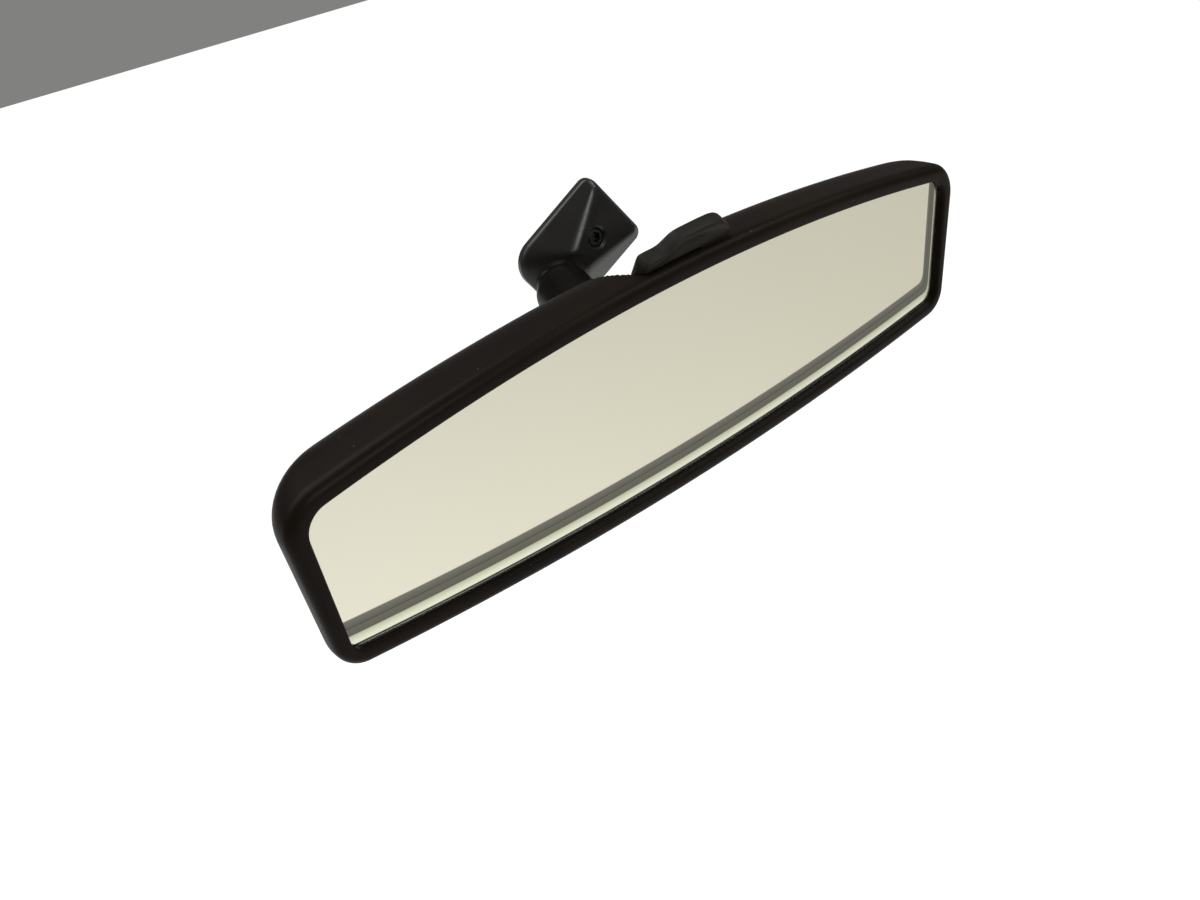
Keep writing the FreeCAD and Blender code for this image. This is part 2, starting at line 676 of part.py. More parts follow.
def toggle_base():
    """Plate on the mirror ball's stud: hinge barrel below, fork for the lever's crank above."""
    corners = [Vec(-BASE_HALF_WIDTH, BASE_FRONT, HINGE_Z), Vec(BASE_HALF_WIDTH, BASE_FRONT, HINGE_Z),
               Vec(BASE_HALF_WIDTH, BASE_FRONT, BASE_TOP), Vec(-BASE_HALF_WIDTH, BASE_FRONT, BASE_TOP)]
    plate = prism(rounded_loop(corners, [BASE_EASE, BASE_EASE, BASE_CORNER, BASE_CORNER]), BASE_THICK)
    barrel = cross_rod(BARREL_R, HINGE_Y, HINGE_Z, -BASE_HALF_WIDTH, BASE_HALF_WIDTH)
    slot_half = LEVER_PIN_R + FORK_GAP
    fork = box(Vec(-FORK_HALF, CRANK_Y - slot_half - FORK_PRONG, FORK_LOW),
               Vec(FORK_HALF, BASE_BACK, CRANK_Z + FORK_ABOVE_PIN))
    slot = box(Vec(-REACH / 8, CRANK_Y - slot_half, CRANK_Z - FORK_BELOW_PIN),
               Vec(REACH / 8, CRANK_Y + slot_half, HEAD_TOP))
    base = plate.fuse([barrel, fork]).cut(slot)
    base = base.cut(cross_rod(HINGE_PIN_R + PIN_GAP, HINGE_Y, HINGE_Z, -REACH / 8, REACH / 8))
    base = base.cut(rod(STUD_SHANK_R + CUP_GAP, Vec(0, 0, 0), Vec(0, BALL_DEPTH, 0)))
    return on_head(base.removeSplitter())


def paddle_outline():
    """Finger paddle's corners and roundings: low shoulder on the left, high crown on the right."""
    return [
        (Vec(-10.0, 0, 12.4), 0.8), (Vec(-10.7, 0, 14.6), 1.2), (Vec(-2.8, 0, 15.6), 3.5),
        (Vec(0.4, 0, 19.1), 2.4), (Vec(15.6, 0, 19.9), 3.0), (Vec(21.0, 0, 16.1), 2.6),
        (Vec(21.0, 0, 12.4), 0.8)]


def lever_upper():
    """Neck and finger paddle, upright about the pivot."""
    outline = paddle_outline()
    loop = rounded_loop([point for point, radius in outline], [radius for point, radius in outline])
    loop.translate(Vec(0, -PADDLE_THICK / 2, 0))
    paddle = prism(loop, PADDLE_THICK)
    faces = edges_at_depth(paddle, -PADDLE_THICK / 2) + edges_at_depth(paddle, PADDLE_THICK / 2)
    paddle = paddle.makeFillet(PADDLE_ROUND, faces)
    top = outline[0][0].z + NECK_OVERLAP
    neck = box(Vec(NECK_LEFT, -NECK_THICK / 2, 0), Vec(NECK_RIGHT, NECK_THICK / 2, top))
    return paddle.fuse(neck)


def toggle_lever():
    """Day/night lever: paddle and neck above its barrel, two crank arms below."""
    upper = lever_upper()
    upper.rotate(Vec(0, 0, 0), X_AXIS, LEVER_LEAN_DEG)
    upper.translate(Vec(0, LEVER_Y, LEVER_Z))
    barrel = cross_rod(LEVER_BARREL_R, LEVER_Y, LEVER_Z, -LEVER_BARREL_HALF, LEVER_BARREL_HALF)
    pieces = [barrel]
    for near in (CRANK_IN, -CRANK_IN - CRANK_THICK):
        far = near + CRANK_THICK
        pieces.append(cross_rod(CRANK_BOSS_R, CRANK_Y, CRANK_Z, near, far))
        points = [(LEVER_Y - CRANK_BOSS_R, LEVER_Z), (LEVER_Y + CRANK_BOSS_R, LEVER_Z),
                  (CRANK_Y + CRANK_BOSS_R, CRANK_Z), (CRANK_Y - CRANK_BOSS_R, CRANK_Z)]
        pieces.append(side_plate(points, CRANK_EASE, near, far))
    lever = upper.fuse(pieces)
    lever = lever.cut(cross_rod(LEVER_PIN_R + PIN_GAP, LEVER_Y, LEVER_Z, -REACH / 8, REACH / 8))
    lever = lever.cut(cross_rod(LEVER_PIN_R + PIN_GAP / 2, CRANK_Y, CRANK_Z, -REACH / 8, REACH / 8))
    return on_head(lever.removeSplitter())


def crank_pin():
    """Pin through the crank arms that works in the base's fork."""
    half = CRANK_IN + CRANK_THICK
    return on_head(cross_rod(LEVER_PIN_R, CRANK_Y, CRANK_Z, -half, half))


def leaf_spring(near, far):
    """Detent leaf from the carrier up to the lever's barrel."""
    back = LEVER_Y - LEVER_BARREL_R - CUP_GAP
    low_back = carrier_back_depth(LEAF_LOW)
    root_back = carrier_back_depth(WINDOW_LOW)
    lean_top = WINDOW_LOW + LEAF_RISE
    bend = LEVER_Z + LEAF_BEND_UP
    tip = LEVER_Z + LEAF_TIP_UP
    front_points = [
        Vec(near, low_back, LEAF_LOW), Vec(near, root_back, WINDOW_LOW),
        Vec(near, back - LEAF_THICK, lean_top), Vec(near, back - LEAF_THICK, bend),
        Vec(near, back - LEAF_THICK - LEAF_HOOK, tip)]
    back_points = [
        Vec(near, back - LEAF_HOOK, tip), Vec(near, back, bend), Vec(near, back, lean_top),
        Vec(near, root_back + LEAF_THICK, WINDOW_LOW), Vec(near, low_back + LEAF_THICK, LEAF_LOW)]
    outline = front_points + back_points + front_points[:1]
    return Part.Face(Part.makePolygon(outline)).extrude(Vec(far - near, 0, 0))


def detent_springs():
    """Two leaves that hold the lever in either position."""
    return on_head(Part.Compound(both_sides(leaf_spring, LEAF_IN, LEAF_IN + LEAF_WIDTH)))


def bumper_pads():
    """Two rubber stops on the carrier that the base meets in the day position."""
    arm = BUMPER_Z + BUMPER_R - HINGE_Z
    front = BASE_FRONT - arm * math.tan(math.radians(TILT_DEG)) - BUMPER_GAP
    pads = []
    for x in (-BUMPER_X, BUMPER_X):
        pad = rod(BUMPER_R, Vec(x, LIP_THICK, BUMPER_Z), Vec(x, front, BUMPER_Z))
        pads.append(pad.cut(glass_wedge(-REACH / 8, CARRIER_BACK)))
    return on_head(Part.Compound(pads))


# ---- Ball studs, cups and arm ----

def mirror_ball_stud():
    """Turned stud: ball, neck, flange and a shank riveted over in front of the base."""
    seat = BALL_DEPTH - BASE_BACK
    flange = seat - FLANGE_THICK
    rivet = seat + BASE_THICK
    neck_angle = math.degrees(math.asin(NECK_R / BALL_R))
    steps = [
        (-BALL_R, 0), on_ball(BALL_R, 100) + on_ball(BALL_R, neck_angle), (flange, NECK_R),
        (flange, FLANGE_R), (seat, FLANGE_R), (seat, STUD_SHANK_R), (rivet, STUD_SHANK_R),
        (rivet, RIVET_R), (rivet + RIVET_THICK * 0.5, RIVET_R), (rivet + RIVET_THICK, RIVET_R * 0.6),
        (rivet + RIVET_THICK, 0)]
    return turned(steps, MIRROR_BALL, Vec(0, -1, 0))


def foot_ball_stud():
    """Turned stud: ball, neck and a thicker shank pressed into the foot."""
    neck_angle = math.degrees(math.asin(NECK_R / BALL_R))
    steps = [
        (-BALL_R, 0), on_ball(BALL_R, 100) + on_ball(BALL_R, neck_angle), (FOOT_SHANK_START, NECK_R),
        (FOOT_SHANK_START, FOOT_SHANK_R), (FOOT_SHANK_END, FOOT_SHANK_R), (FOOT_SHANK_END, 0)]
    return turned(steps, FOOT_BALL, ARM * -1)


def ball_cup(centre, mouth_direction):
    """Plastic ring between a ball and the swaged tube end."""
    def zone(radius, edge):
        return math.degrees(math.acos(edge / radius))

    inner_start = zone(CUP_IN_R, CUP_OUTER_EDGE)
    inner_end = zone(CUP_IN_R, CUP_INNER_EDGE)
    outer_start = zone(CUP_OUT_R - CUP_GAP, CUP_OUTER_EDGE)
    outer_end = zone(CUP_OUT_R - CUP_GAP, CUP_INNER_EDGE)
    outer = CUP_OUT_R - CUP_GAP
    steps = [
        on_ball(CUP_IN_R, inner_start),
        on_ball(CUP_IN_R, (inner_start + inner_end) / 2) + on_ball(CUP_IN_R, inner_end),
        on_ball(outer, outer_end),
        on_ball(outer, (outer_start + outer_end) / 2) + on_ball(outer, outer_start)]
    return turned(steps, centre, mouth_direction)


def foot_ball_cup():
    """Cup on the foot's ball."""
    return ball_cup(FOOT_BALL, ARM * -1)


def mirror_ball_cup():
    """Cup on the mirror's ball."""
    return ball_cup(MIRROR_BALL, MIRROR_CUP_AXIS)


def arm_tube():
    """Steel tube with both ends swaged in round the balls."""
    mouth_outer = math.sqrt(TUBE_R ** 2 - MOUTH_POS ** 2)
    inner_angle = math.degrees(math.asin(MOUTH_R / TUBE_IN_R))
    outer_angle = math.degrees(math.asin(mouth_outer / TUBE_R))
    inner_mid = (90 + inner_angle) / 2
    outer_mid = (90 + outer_angle) / 2
    length = BALL_SPACING

    def low(radius, angle):
        axial, radial = on_ball(radius, angle)
        return (-axial, radial)

    steps = [
        low(TUBE_IN_R, inner_angle), low(TUBE_R, outer_angle), low(TUBE_R, outer_mid) + (0, TUBE_R),
        (length, TUBE_R), on_ball(TUBE_R, outer_mid, length) + on_ball(TUBE_R, outer_angle, length),
        on_ball(TUBE_IN_R, inner_angle, length),
        on_ball(TUBE_IN_R, inner_mid, length) + (length, TUBE_IN_R), (0, TUBE_IN_R),
        low(TUBE_IN_R, inner_mid) + low(TUBE_IN_R, inner_angle)]
    return turned(steps, FOOT_BALL, ARM)


def spring_seat(centre, direction):
    """Dished seat that the spring presses on a ball."""
    outer = TUBE_IN_R - SEAT_GAP
    dish = math.sqrt(CUP_IN_R ** 2 - SEAT_START ** 2)
    dish_angle = math.degrees(math.asin(dish / CUP_IN_R))
    steps = [
        on_ball(CUP_IN_R, dish_angle), (SEAT_START, outer), (SEAT_END, outer), (SEAT_END, 0),
        (CUP_IN_R, 0), on_ball(CUP_IN_R, dish_angle / 2) + on_ball(CUP_IN_R, dish_angle)]
    return turned(steps, centre, direction)


def foot_spring_seat():
    """Seat against the foot's ball."""
    return spring_seat(FOOT_BALL, ARM)


def mirror_spring_seat():
    """Seat against the mirror's ball."""
    return spring_seat(MIRROR_BALL, ARM * -1)


def arm_spring():
    """Compression spring between the two seats."""
    start = SEAT_END + SPRING_WIRE_R
    length = BALL_SPACING - 2 * start
    helix = Part.makeHelix(length / SPRING_TURNS, length, SPRING_MEAN_R)
    ring = Part.makeCircle(SPRING_WIRE_R, Vec(SPRING_MEAN_R, 0, 0), Y_AXIS)
    coil = Part.Wire(helix).makePipeShell([Part.Wire(ring)], True, True)
    coil.Placement = FreeCAD.Placement(FOOT_BALL + ARM * start, FreeCAD.Rotation(Z_AXIS, ARM))
    return coil


# ---- Foot ----

def foot_loop(height):
    """Foot's plan outline at a height above the pad face."""
    half = FOOT_HALF_WIDTH
    points = [Vec(FOOT_THIN_END, -half, height), Vec(FOOT_BALL_END, -half, height),
              Vec(FOOT_BALL_END, half, height), Vec(FOOT_THIN_END, half, height)]
    return rounded_loop(points, [FOOT_THIN_CORNER, FOOT_BALL_CORNER, FOOT_BALL_CORNER, FOOT_THIN_CORNER])


def roof_loop():
    """Sloping top facet: wide and low at the thin end, narrow and high at the ball."""
    thin = FOOT_THIN_END + ROOF_THIN_SETBACK
    points = [
        Vec(thin, -ROOF_THIN_HALF, ROOF_THIN_HEIGHT), Vec(ROOF_BALL_POS, -ROOF_BALL_HALF, ROOF_BALL_HEIGHT),
        Vec(ROOF_BALL_POS, ROOF_BALL_HALF, ROOF_BALL_HEIGHT), Vec(thin, ROOF_THIN_HALF, ROOF_THIN_HEIGHT)]
    return rounded_loop(points, [ROOF_CORNER] * 4)


def roof_height(place):
    """Height of the sloping top facet at a place along the foot."""
    thin = FOOT_THIN_END + ROOF_THIN_SETBACK
    share = (place - thin) / (ROOF_BALL_POS - thin)
    return ROOF_THIN_HEIGHT + share * (ROOF_BALL_HEIGHT - ROOF_THIN_HEIGHT)


def button_channel():
    """Dovetail channel that slides over the windscreen's button, open at the thin end."""
    half = CHANNEL_LENGTH / 2
    start = -half - OVERCUT
    points = [
        Vec(start, -CHANNEL_MOUTH_HALF, -NEAR), Vec(start, -CHANNEL_FLOOR_HALF, CHANNEL_DEPTH),
        Vec(start, CHANNEL_FLOOR_HALF, CHANNEL_DEPTH), Vec(start, CHANNEL_MOUTH_HALF, -NEAR)]
    points.append(points[0])
    return Part.Face(Part.makePolygon(points)).extrude(Vec(CHANNEL_LENGTH + OVERCUT, 0, 0))


def clamp_screw_frame():
    """Place and direction of the clamp screw, square to the sloping top."""
    slope = (ROOF_BALL_HEIGHT - ROOF_THIN_HEIGHT) / (ROOF_BALL_POS - FOOT_THIN_END - ROOF_THIN_SETBACK)
    top = Vec(CLAMP_SCREW_POS, 0, roof_height(CLAMP_SCREW_POS))
    down = Vec(slope, 0, -1)
    down.normalize()
    return top, down


def mount_foot():
    """Die-cast foot with the button channel, the clamp screw's hole and a dish under the ball."""
    base = Part.Face(foot_loop(0)).extrude(Vec(0, 0, FOOT_EDGE_THICK))
    roof = Part.makeLoft([foot_loop(FOOT_EDGE_THICK), roof_loop()], True, True)
    body = base.fuse(roof)
    body = body.cut(button_channel())
    top, down = clamp_screw_frame()
    body = body.cut(rod(CLAMP_SCREW_R + CLAMP_SCREW_GAP, top - down * OVERCUT, top + down * REACH / 20))
    wide = CLAMP_SCREW_R + CLAMP_CHAMFER
    chamfer = Part.makeCone(wide + OVERCUT, CLAMP_SCREW_R, CLAMP_CHAMFER + OVERCUT, top - down * OVERCUT, down)
    body = on_foot(body.cut(chamfer)).fuse(stud_boss())
    body = body.cut(Part.makeSphere(TUBE_R + FOOT_DISH_GAP, FOOT_BALL))
    shank = rod(FOOT_SHANK_R + FOOT_SHANK_GAP, FOOT_BALL, FOOT_BALL - ARM * FOOT_SHANK_END)
    return body.cut(shank)


def stud_boss():
    """Conical boss on the foot, in line with the ball stud."""
    length = FOOT_SHANK_END - FOOT_SHANK_START
    return Part.makeCone(BOSS_TOP_R, BOSS_FOOT_R, length, FOOT_BALL - ARM * FOOT_SHANK_START, ARM * -1)


def torx_recess(depth):
    """Six-lobed recess about Z, from z = 0 down."""
    recess = Part.makeCylinder(TORX_R - TORX_LOBE_R * 0.9, depth)
    for index in range(6):
        angle = math.radians(60 * index)
        place = Vec(math.cos(angle), math.sin(angle), 0) * (TORX_R - TORX_LOBE_R)
        recess = recess.fuse(Part.makeCylinder(TORX_LOBE_R, depth, place))
    return recess


def clamp_screw():
    """Grub screw with a six-lobed recess and a chamfered tip that presses on the button."""
    top, down = clamp_screw_frame()
    screw = Part.makeCylinder(CLAMP_SCREW_R, CLAMP_SCREW_LENGTH)
    ends = edges_at_ends(screw, CLAMP_SCREW_LENGTH)
    screw = screw.makeChamfer(CLAMP_SCREW_CHAMFER, ends)
    screw = screw.cut(torx_recess(TORX_DEPTH))
    screw.Placement = FreeCAD.Placement(top + down * CLAMP_SCREW_SINK, FreeCAD.Rotation(Z_AXIS, down))
    return on_foot(screw)


def edges_at_ends(cylinder, length):
    """Both rim edges of an upright cylinder."""
    found = []
    for edge in cylinder.Edges:
        bounds = edge.BoundBox
        if bounds.ZLength < NEAR and (abs(bounds.ZMin) < NEAR or abs(bounds.ZMin - length) < NEAR):
            found.append(edge)
    return found


NODES = {
    "mount_foot": mount_foot,
    "clamp_screw": clamp_screw,
    "foot_ball_stud": foot_ball_stud,
    "foot_ball_cup": foot_ball_cup,
    "arm_tube": arm_tube,
    "foot_spring_seat": foot_spring_seat,
    "arm_spring": arm_spring,
    "mirror_spring_seat": mirror_spring_seat,
    "mirror_ball_cup": mirror_ball_cup,
    "mirror_ball_stud": mirror_ball_stud,
    "toggle_base": toggle_base,
    "hinge_pin": hinge_pin,
    "housing": housing,
    "mirror_glass": mirror_glass,
    "silver_backing": silver_backing,
    "glass_pad": glass_pad,
    "carrier_plate": carrier_plate,
    "carrier_screws": carrier_screws,
    "bumper_pads": bumper_pads,
    "detent_springs": detent_springs,
    "lever_pin": lever_pin,
    "toggle_lever": toggle_lever,
    "crank_pin": crank_pin,
}


def main():
    """Build every piece and write its STEP file."""
    os.makedirs("parts", exist_ok=True)
    for name, make in NODES.items():
        shape = make()
        if not shape.isValid():
            raise RuntimeError("invalid shape: " + name)
        shape.exportStep("parts/" + name + ".step")
        print(name, len(shape.Solids), "solid(s)", round(shape.Volume, 1), "mm3")


main()
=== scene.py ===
import json
import logging
import math
from dataclasses import dataclass, field
from enum import Enum
from typing import Any, Iterable, Sequence

import bmesh
import bpy
import numpy as np
from mathutils import Matrix, Vector


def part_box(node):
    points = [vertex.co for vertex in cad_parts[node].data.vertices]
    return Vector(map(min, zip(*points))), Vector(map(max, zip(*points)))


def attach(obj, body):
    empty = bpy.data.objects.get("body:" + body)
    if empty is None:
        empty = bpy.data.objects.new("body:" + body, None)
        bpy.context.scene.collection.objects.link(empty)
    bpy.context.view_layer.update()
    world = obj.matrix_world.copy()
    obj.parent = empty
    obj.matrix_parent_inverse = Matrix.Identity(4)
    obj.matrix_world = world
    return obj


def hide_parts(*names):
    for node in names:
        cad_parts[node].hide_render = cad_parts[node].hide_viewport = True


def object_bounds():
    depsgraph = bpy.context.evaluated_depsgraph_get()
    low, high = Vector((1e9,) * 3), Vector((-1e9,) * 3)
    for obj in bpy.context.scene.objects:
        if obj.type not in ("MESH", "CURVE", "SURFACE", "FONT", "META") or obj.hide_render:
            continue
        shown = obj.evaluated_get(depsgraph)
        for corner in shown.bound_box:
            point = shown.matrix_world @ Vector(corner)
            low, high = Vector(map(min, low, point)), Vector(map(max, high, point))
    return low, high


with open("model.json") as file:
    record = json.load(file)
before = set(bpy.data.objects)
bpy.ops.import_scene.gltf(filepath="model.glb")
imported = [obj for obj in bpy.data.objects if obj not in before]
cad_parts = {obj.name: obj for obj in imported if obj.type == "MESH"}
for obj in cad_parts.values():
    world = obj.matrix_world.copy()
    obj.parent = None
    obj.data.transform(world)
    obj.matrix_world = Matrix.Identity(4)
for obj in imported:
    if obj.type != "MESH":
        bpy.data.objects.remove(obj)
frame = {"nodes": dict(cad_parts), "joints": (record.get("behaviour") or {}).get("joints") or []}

# Interior rearview mirror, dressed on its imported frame. Metres, in the part's own axes.
# +X runs along the head, -Y is the driver's side, +Z is up. Head sizes are given in
# millimetres about the middle of the glass opening, at the front of its lip.

CAD_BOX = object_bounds()
LOG = logging.getLogger("rearview_mirror")
MM = 0.001
BALL_DEPTH = 26.5            # mirror ball behind the lip's front
SMOOTH_ANGLE = math.radians(32)


def joint_place(name: str) -> Vector:
    """Pivot of a joint.

    Args:
        name: the joint's name in the record.

    Returns:
        Its position in metres.
    """
    for joint in frame["joints"]:
        if joint["name"] == name:
            return Vector(joint["pos_m"])
    raise KeyError(name)


HEAD = joint_place("mirror_ball_yaw") - Vector((0.0, BALL_DEPTH * MM, 0.0))
FOOT_BALL = joint_place("foot_ball_yaw")


# ---------------------------------------------------------------- shader kit

class Finishing(Enum):
    """Shading of a mesh's edges."""

    SOFT = "soft"
    CRISP = "crisp"


@dataclass
class Socket:
    """An output socket in a material, with the arithmetic of numbers."""

    kit: "ShaderKit"
    socket: Any

    def _math(self, operation: str, *others: Any) -> "Socket":
        """Math node on this value and others."""
        inputs = dict(enumerate((self, *others)))
        return self.kit.node("ShaderNodeMath", {"operation": operation}, inputs)

    def __add__(self, other: Any) -> "Socket":
        """Sum."""
        return self._math("ADD", other)

    def __radd__(self, other: Any) -> "Socket":
        """Sum, reflected."""
        return self._math("ADD", other)

    def __sub__(self, other: Any) -> "Socket":
        """Difference."""
        return self._math("SUBTRACT", other)

    def __rsub__(self, other: Any) -> "Socket":
        """Difference, reflected."""
        return self._math("MULTIPLY_ADD", -1.0, other)

    def __mul__(self, other: Any) -> "Socket":
        """Product."""
        return self._math("MULTIPLY", other)

    def __rmul__(self, other: Any) -> "Socket":
        """Product, reflected."""
        return self._math("MULTIPLY", other)

    def __truediv__(self, other: Any) -> "Socket":
        """Quotient."""
        return self._math("DIVIDE", other)

    def __pow__(self, other: Any) -> "Socket":
        """Power."""
        return self._math("POWER", other)

    def least(self, other: Any) -> "Socket":
        """Smaller of the two."""
        return self._math("MINIMUM", other)

    def most(self, other: Any) -> "Socket":
        """Larger of the two."""
        return self._math("MAXIMUM", other)

    def clamped(self) -> "Socket":
        """Held between 0 and 1."""
        return self.most(0.0).least(1.0)


class ShaderKit:
    """One material's node tree, with its Principled shader."""

    def __init__(self, name: str) -> None:
        """Start an empty material.

        Args:
            name: the material's name.
        """
        self.material = bpy.data.materials.new(name)
        self.material.use_nodes = True
        self.tree = self.material.node_tree
        self.tree.nodes.clear()
        output = self.tree.nodes.new("ShaderNodeOutputMaterial")
        self.shader = self.tree.nodes.new("ShaderNodeBsdfPrincipled")
        self.tree.links.new(self.shader.outputs[0], output.inputs["Surface"])

    def node(self, kind: str, settings: dict[str, Any], inputs: dict[Any, Any],
             output: int | str = 0) -> Socket:
        """Any node.

        Args:
            kind: the node's type.
            settings: its properties; "stops" gives a ramp's (place, colour) list.
            inputs: input name or number to a value or a Socket.
            output: which output to return.

        Returns:
            The chosen output.
        """
        made = self.tree.nodes.new(kind)
        for key, value in settings.items():
            if key == "stops":
                self._set_stops(made.color_ramp, value)
            else:
                setattr(made, key, value)
        for key, value in inputs.items():
            self.feed(made.inputs[key], value)
        return Socket(self, made.outputs[output])

    @staticmethod
    def _set_stops(ramp: Any, stops: Sequence[tuple[float, Sequence[float]]]) -> None:
        """Fill a colour ramp.

        Args:
            ramp: the node's ramp.
            stops: places and colours, in order.
        """
        while len(ramp.elements) < len(stops):
            ramp.elements.new(0.5)
        for element, (place, colour) in zip(ramp.elements, stops):
            element.position = place
            element.color = (*colour, 1.0)

    def feed(self, target: Any, value: Any) -> None:
        """Link or set an input.

        Args:
            target: the input socket.
            value: a Socket, a number or a tuple.
        """
        if isinstance(value, Socket):
            self.tree.links.new(value.socket, target)
        else:
            target.default_value = value

    def place(self) -> Socket:
        """Place on the object, in metres in the part's frame."""
        return self.node("ShaderNodeTexCoord", {}, {}, "Object")

    def axes(self) -> tuple[Socket, Socket, Socket]:
        """The place's three numbers."""
        split = self.node("ShaderNodeSeparateXYZ", {}, {0: self.place()})
        outputs = split.socket.node.outputs
        return Socket(self, outputs[0]), Socket(self, outputs[1]), Socket(self, outputs[2])

    def noise(self, size_mm: float, detail: float = 2.0, stretch: Sequence[float] = (1, 1, 1)) -> Socket:
        """Even noise.

        Args:
            size_mm: size of its patches.
            detail: its finer layers.
            stretch: how much it is drawn along each axis.

        Returns:
            A value about 0.5.
        """
        place: Any = self.place()
        if tuple(stretch) != (1, 1, 1):
            scale = tuple(1.0 / part for part in stretch)
            place = self.node("ShaderNodeVectorMath", {"operation": "MULTIPLY"}, {0: place, 1: scale})
        return self.node("ShaderNodeTexNoise", {}, {
            "Vector": place, "Scale": 1.0 / (size_mm * MM), "Detail": detail, "Roughness": 0.55})

    def flecks(self, size_mm: float, share: float) -> Socket:
        """Scattered small specks.

        Args:
            size_mm: distance between the cells that may hold one.
            share: part of a cell that the speck covers.

        Returns:
            1 on a speck, 0 off it.
        """
        cell = self.node("ShaderNodeTexVoronoi", {}, {
            "Vector": self.place(), "Scale": 1.0 / (size_mm * MM), "Randomness": 1.0}, "Distance")
        return ((share - cell) * (6.0 / share)).clamped()

    def blend(self, factor: Any, first: Any, second: Any) -> Socket:
        """Colour between two.

        Args:
            factor: 0 for the first, 1 for the second.
            first: a colour or a Socket.
            second: a colour or a Socket.

        Returns:
            The mixed colour.
        """
        made = self.tree.nodes.new("ShaderNodeMix")
        made.data_type = "RGBA"
        self.feed(made.inputs[0], factor)
        self.feed(made.inputs[6], first if isinstance(first, Socket) else (*first, 1.0))
        self.feed(made.inputs[7], second if isinstance(second, Socket) else (*second, 1.0))
        return Socket(self, made.outputs[2])

    def bump(self, height: Socket, depth_mm: float, strength: float = 1.0) -> None:
        """Relief on the surface.

        Args:
            height: 0 to 1.
            depth_mm: what 1 stands for.
            strength: how much of it shows.
        """
        normal = self.node("ShaderNodeBump", {}, {
            "Strength": strength, "Distance": depth_mm * MM, "Height": height})
        self.feed(self.shader.inputs["Normal"], normal)

    def set(self, **values: Any) -> None:
        """Set the shader's own inputs.

        Args:
            **values: input names with underscores for spaces.
        """
        for key, value in values.items():
            if isinstance(value, tuple) and len(value) == 3:
                value = (*value, 1.0)
            self.feed(self.shader.inputs[key.replace("_", " ")], value)


Colour = tuple[float, float, float]


def srgb(red: int, green: int, blue: int) -> Colour:
    """Linear colour from 0-255 display values."""
    def straighten(value: int) -> float:
        share = value / 255.0
        return share / 12.92 if share <= 0.04045 else ((share + 0.055) / 1.055) ** 2.4
    return straighten(red), straighten(green), straighten(blue)


# ---------------------------------------------------------------- finishes

@dataclass(frozen=True)
class MouldedPlastic:
    """Moulded plastic with a fine grain, faint flow clouds and dust in the grain."""

    name: str
    colour: Colour
    light: Colour
    roughness: float = 0.45
    grain_mm: float = 0.35
    grain_depth_mm: float = 0.02
    cloud_mm: float = 30.0
    specular: float = 0.5

    def material(self) -> Any:
        """The material."""
        kit = ShaderKit(self.name)
        cloud = kit.noise(self.cloud_mm, 3.0)
        grain = kit.noise(self.grain_mm, 2.0)
        dust = kit.flecks(5.0, 0.045)
        shade = kit.blend((cloud * 2.2 - 0.6).clamped(), self.colour, self.light)
        shade = kit.blend((grain - 0.35).clamped() * 0.35, shade, self.light)
        kit.set(Base_Color=kit.blend(dust * 0.25, shade, (0.2, 0.19, 0.17)),
                Roughness=(cloud * 0.12 + grain * 0.1 + (self.roughness - 0.11)).clamped(),
                Specular_IOR_Level=self.specular)
        kit.bump(grain, self.grain_depth_mm)
        return kit.material


@dataclass(frozen=True)
class PaintedMetal:
    """Black paint or powder coat, with orange peel and a little rubbed-through brightness."""

    name: str
    colour: Colour
    roughness: float
    peel_mm: float = 0.9
    peel_depth_mm: float = 0.02
    coat: float = 0.0
    chips: float = 0.03
    specular: float = 0.3

    def material(self) -> Any:
        """The material."""
        kit = ShaderKit(self.name)
        peel = kit.noise(self.peel_mm, 2.0)
        cloud = kit.noise(14.0, 3.0)
        chip = kit.flecks(7.0, self.chips)
        lighter = tuple(part * 1.6 + 0.001 for part in self.colour)
        shade = kit.blend((cloud * 1.8 - 0.4).clamped(), self.colour, lighter)
        kit.set(Base_Color=kit.blend(chip * 0.5, shade, (0.42, 0.41, 0.38)),
                Roughness=(cloud * 0.16 + peel * 0.08 + (self.roughness - 0.12)).clamped(),
                Coat_Weight=self.coat, Coat_Roughness=0.12, Specular_IOR_Level=self.specular)
        kit.bump(peel, self.peel_depth_mm)
        return kit.material


@dataclass(frozen=True)
class BareMetal:
    """Turned, drawn or plated metal with fine marks and a little tarnish."""

    name: str
    colour: Colour
    roughness: float
    marks: tuple[float, float, float] = (1.0, 1.0, 1.0)

    def material(self) -> Any:
        """The material."""
        kit = ShaderKit(self.name)
        marks = kit.noise(0.25, 3.0, self.marks)
        tarnish = kit.noise(4.0, 4.0)
        dull = tuple(part * 0.6 for part in self.colour)
        kit.set(Base_Color=kit.blend((tarnish * 1.6 - 0.4).clamped(), self.colour, dull),
                Roughness=(marks * 0.18 + tarnish * 0.14 + (self.roughness - 0.16)).clamped(),
                Metallic=1.0)
        kit.bump(marks, 0.006)
        return kit.material


@dataclass(frozen=True)
class SoftSolid:
    """Foam, rubber or nylon: an even body colour with pores."""

    name: str
    colour: Colour
    roughness: float
    pore_mm: float

    def material(self) -> Any:
        """The material."""
        kit = ShaderKit(self.name)
        pores = kit.flecks(self.pore_mm, 0.3)
        cloud = kit.noise(9.0, 3.0)
        lighter = tuple(min(1.0, part * 1.3 + 0.01) for part in self.colour)
        shade = kit.blend((cloud * 1.6 - 0.3).clamped(), self.colour, lighter)
        kit.set(Base_Color=kit.blend(pores * 0.4, shade, tuple(part * 0.5 for part in self.colour)),
                Roughness=(cloud * 0.2 + (self.roughness - 0.1)).clamped())
        kit.bump(pores * -1.0 + 1.0, 0.05)
        return kit.material


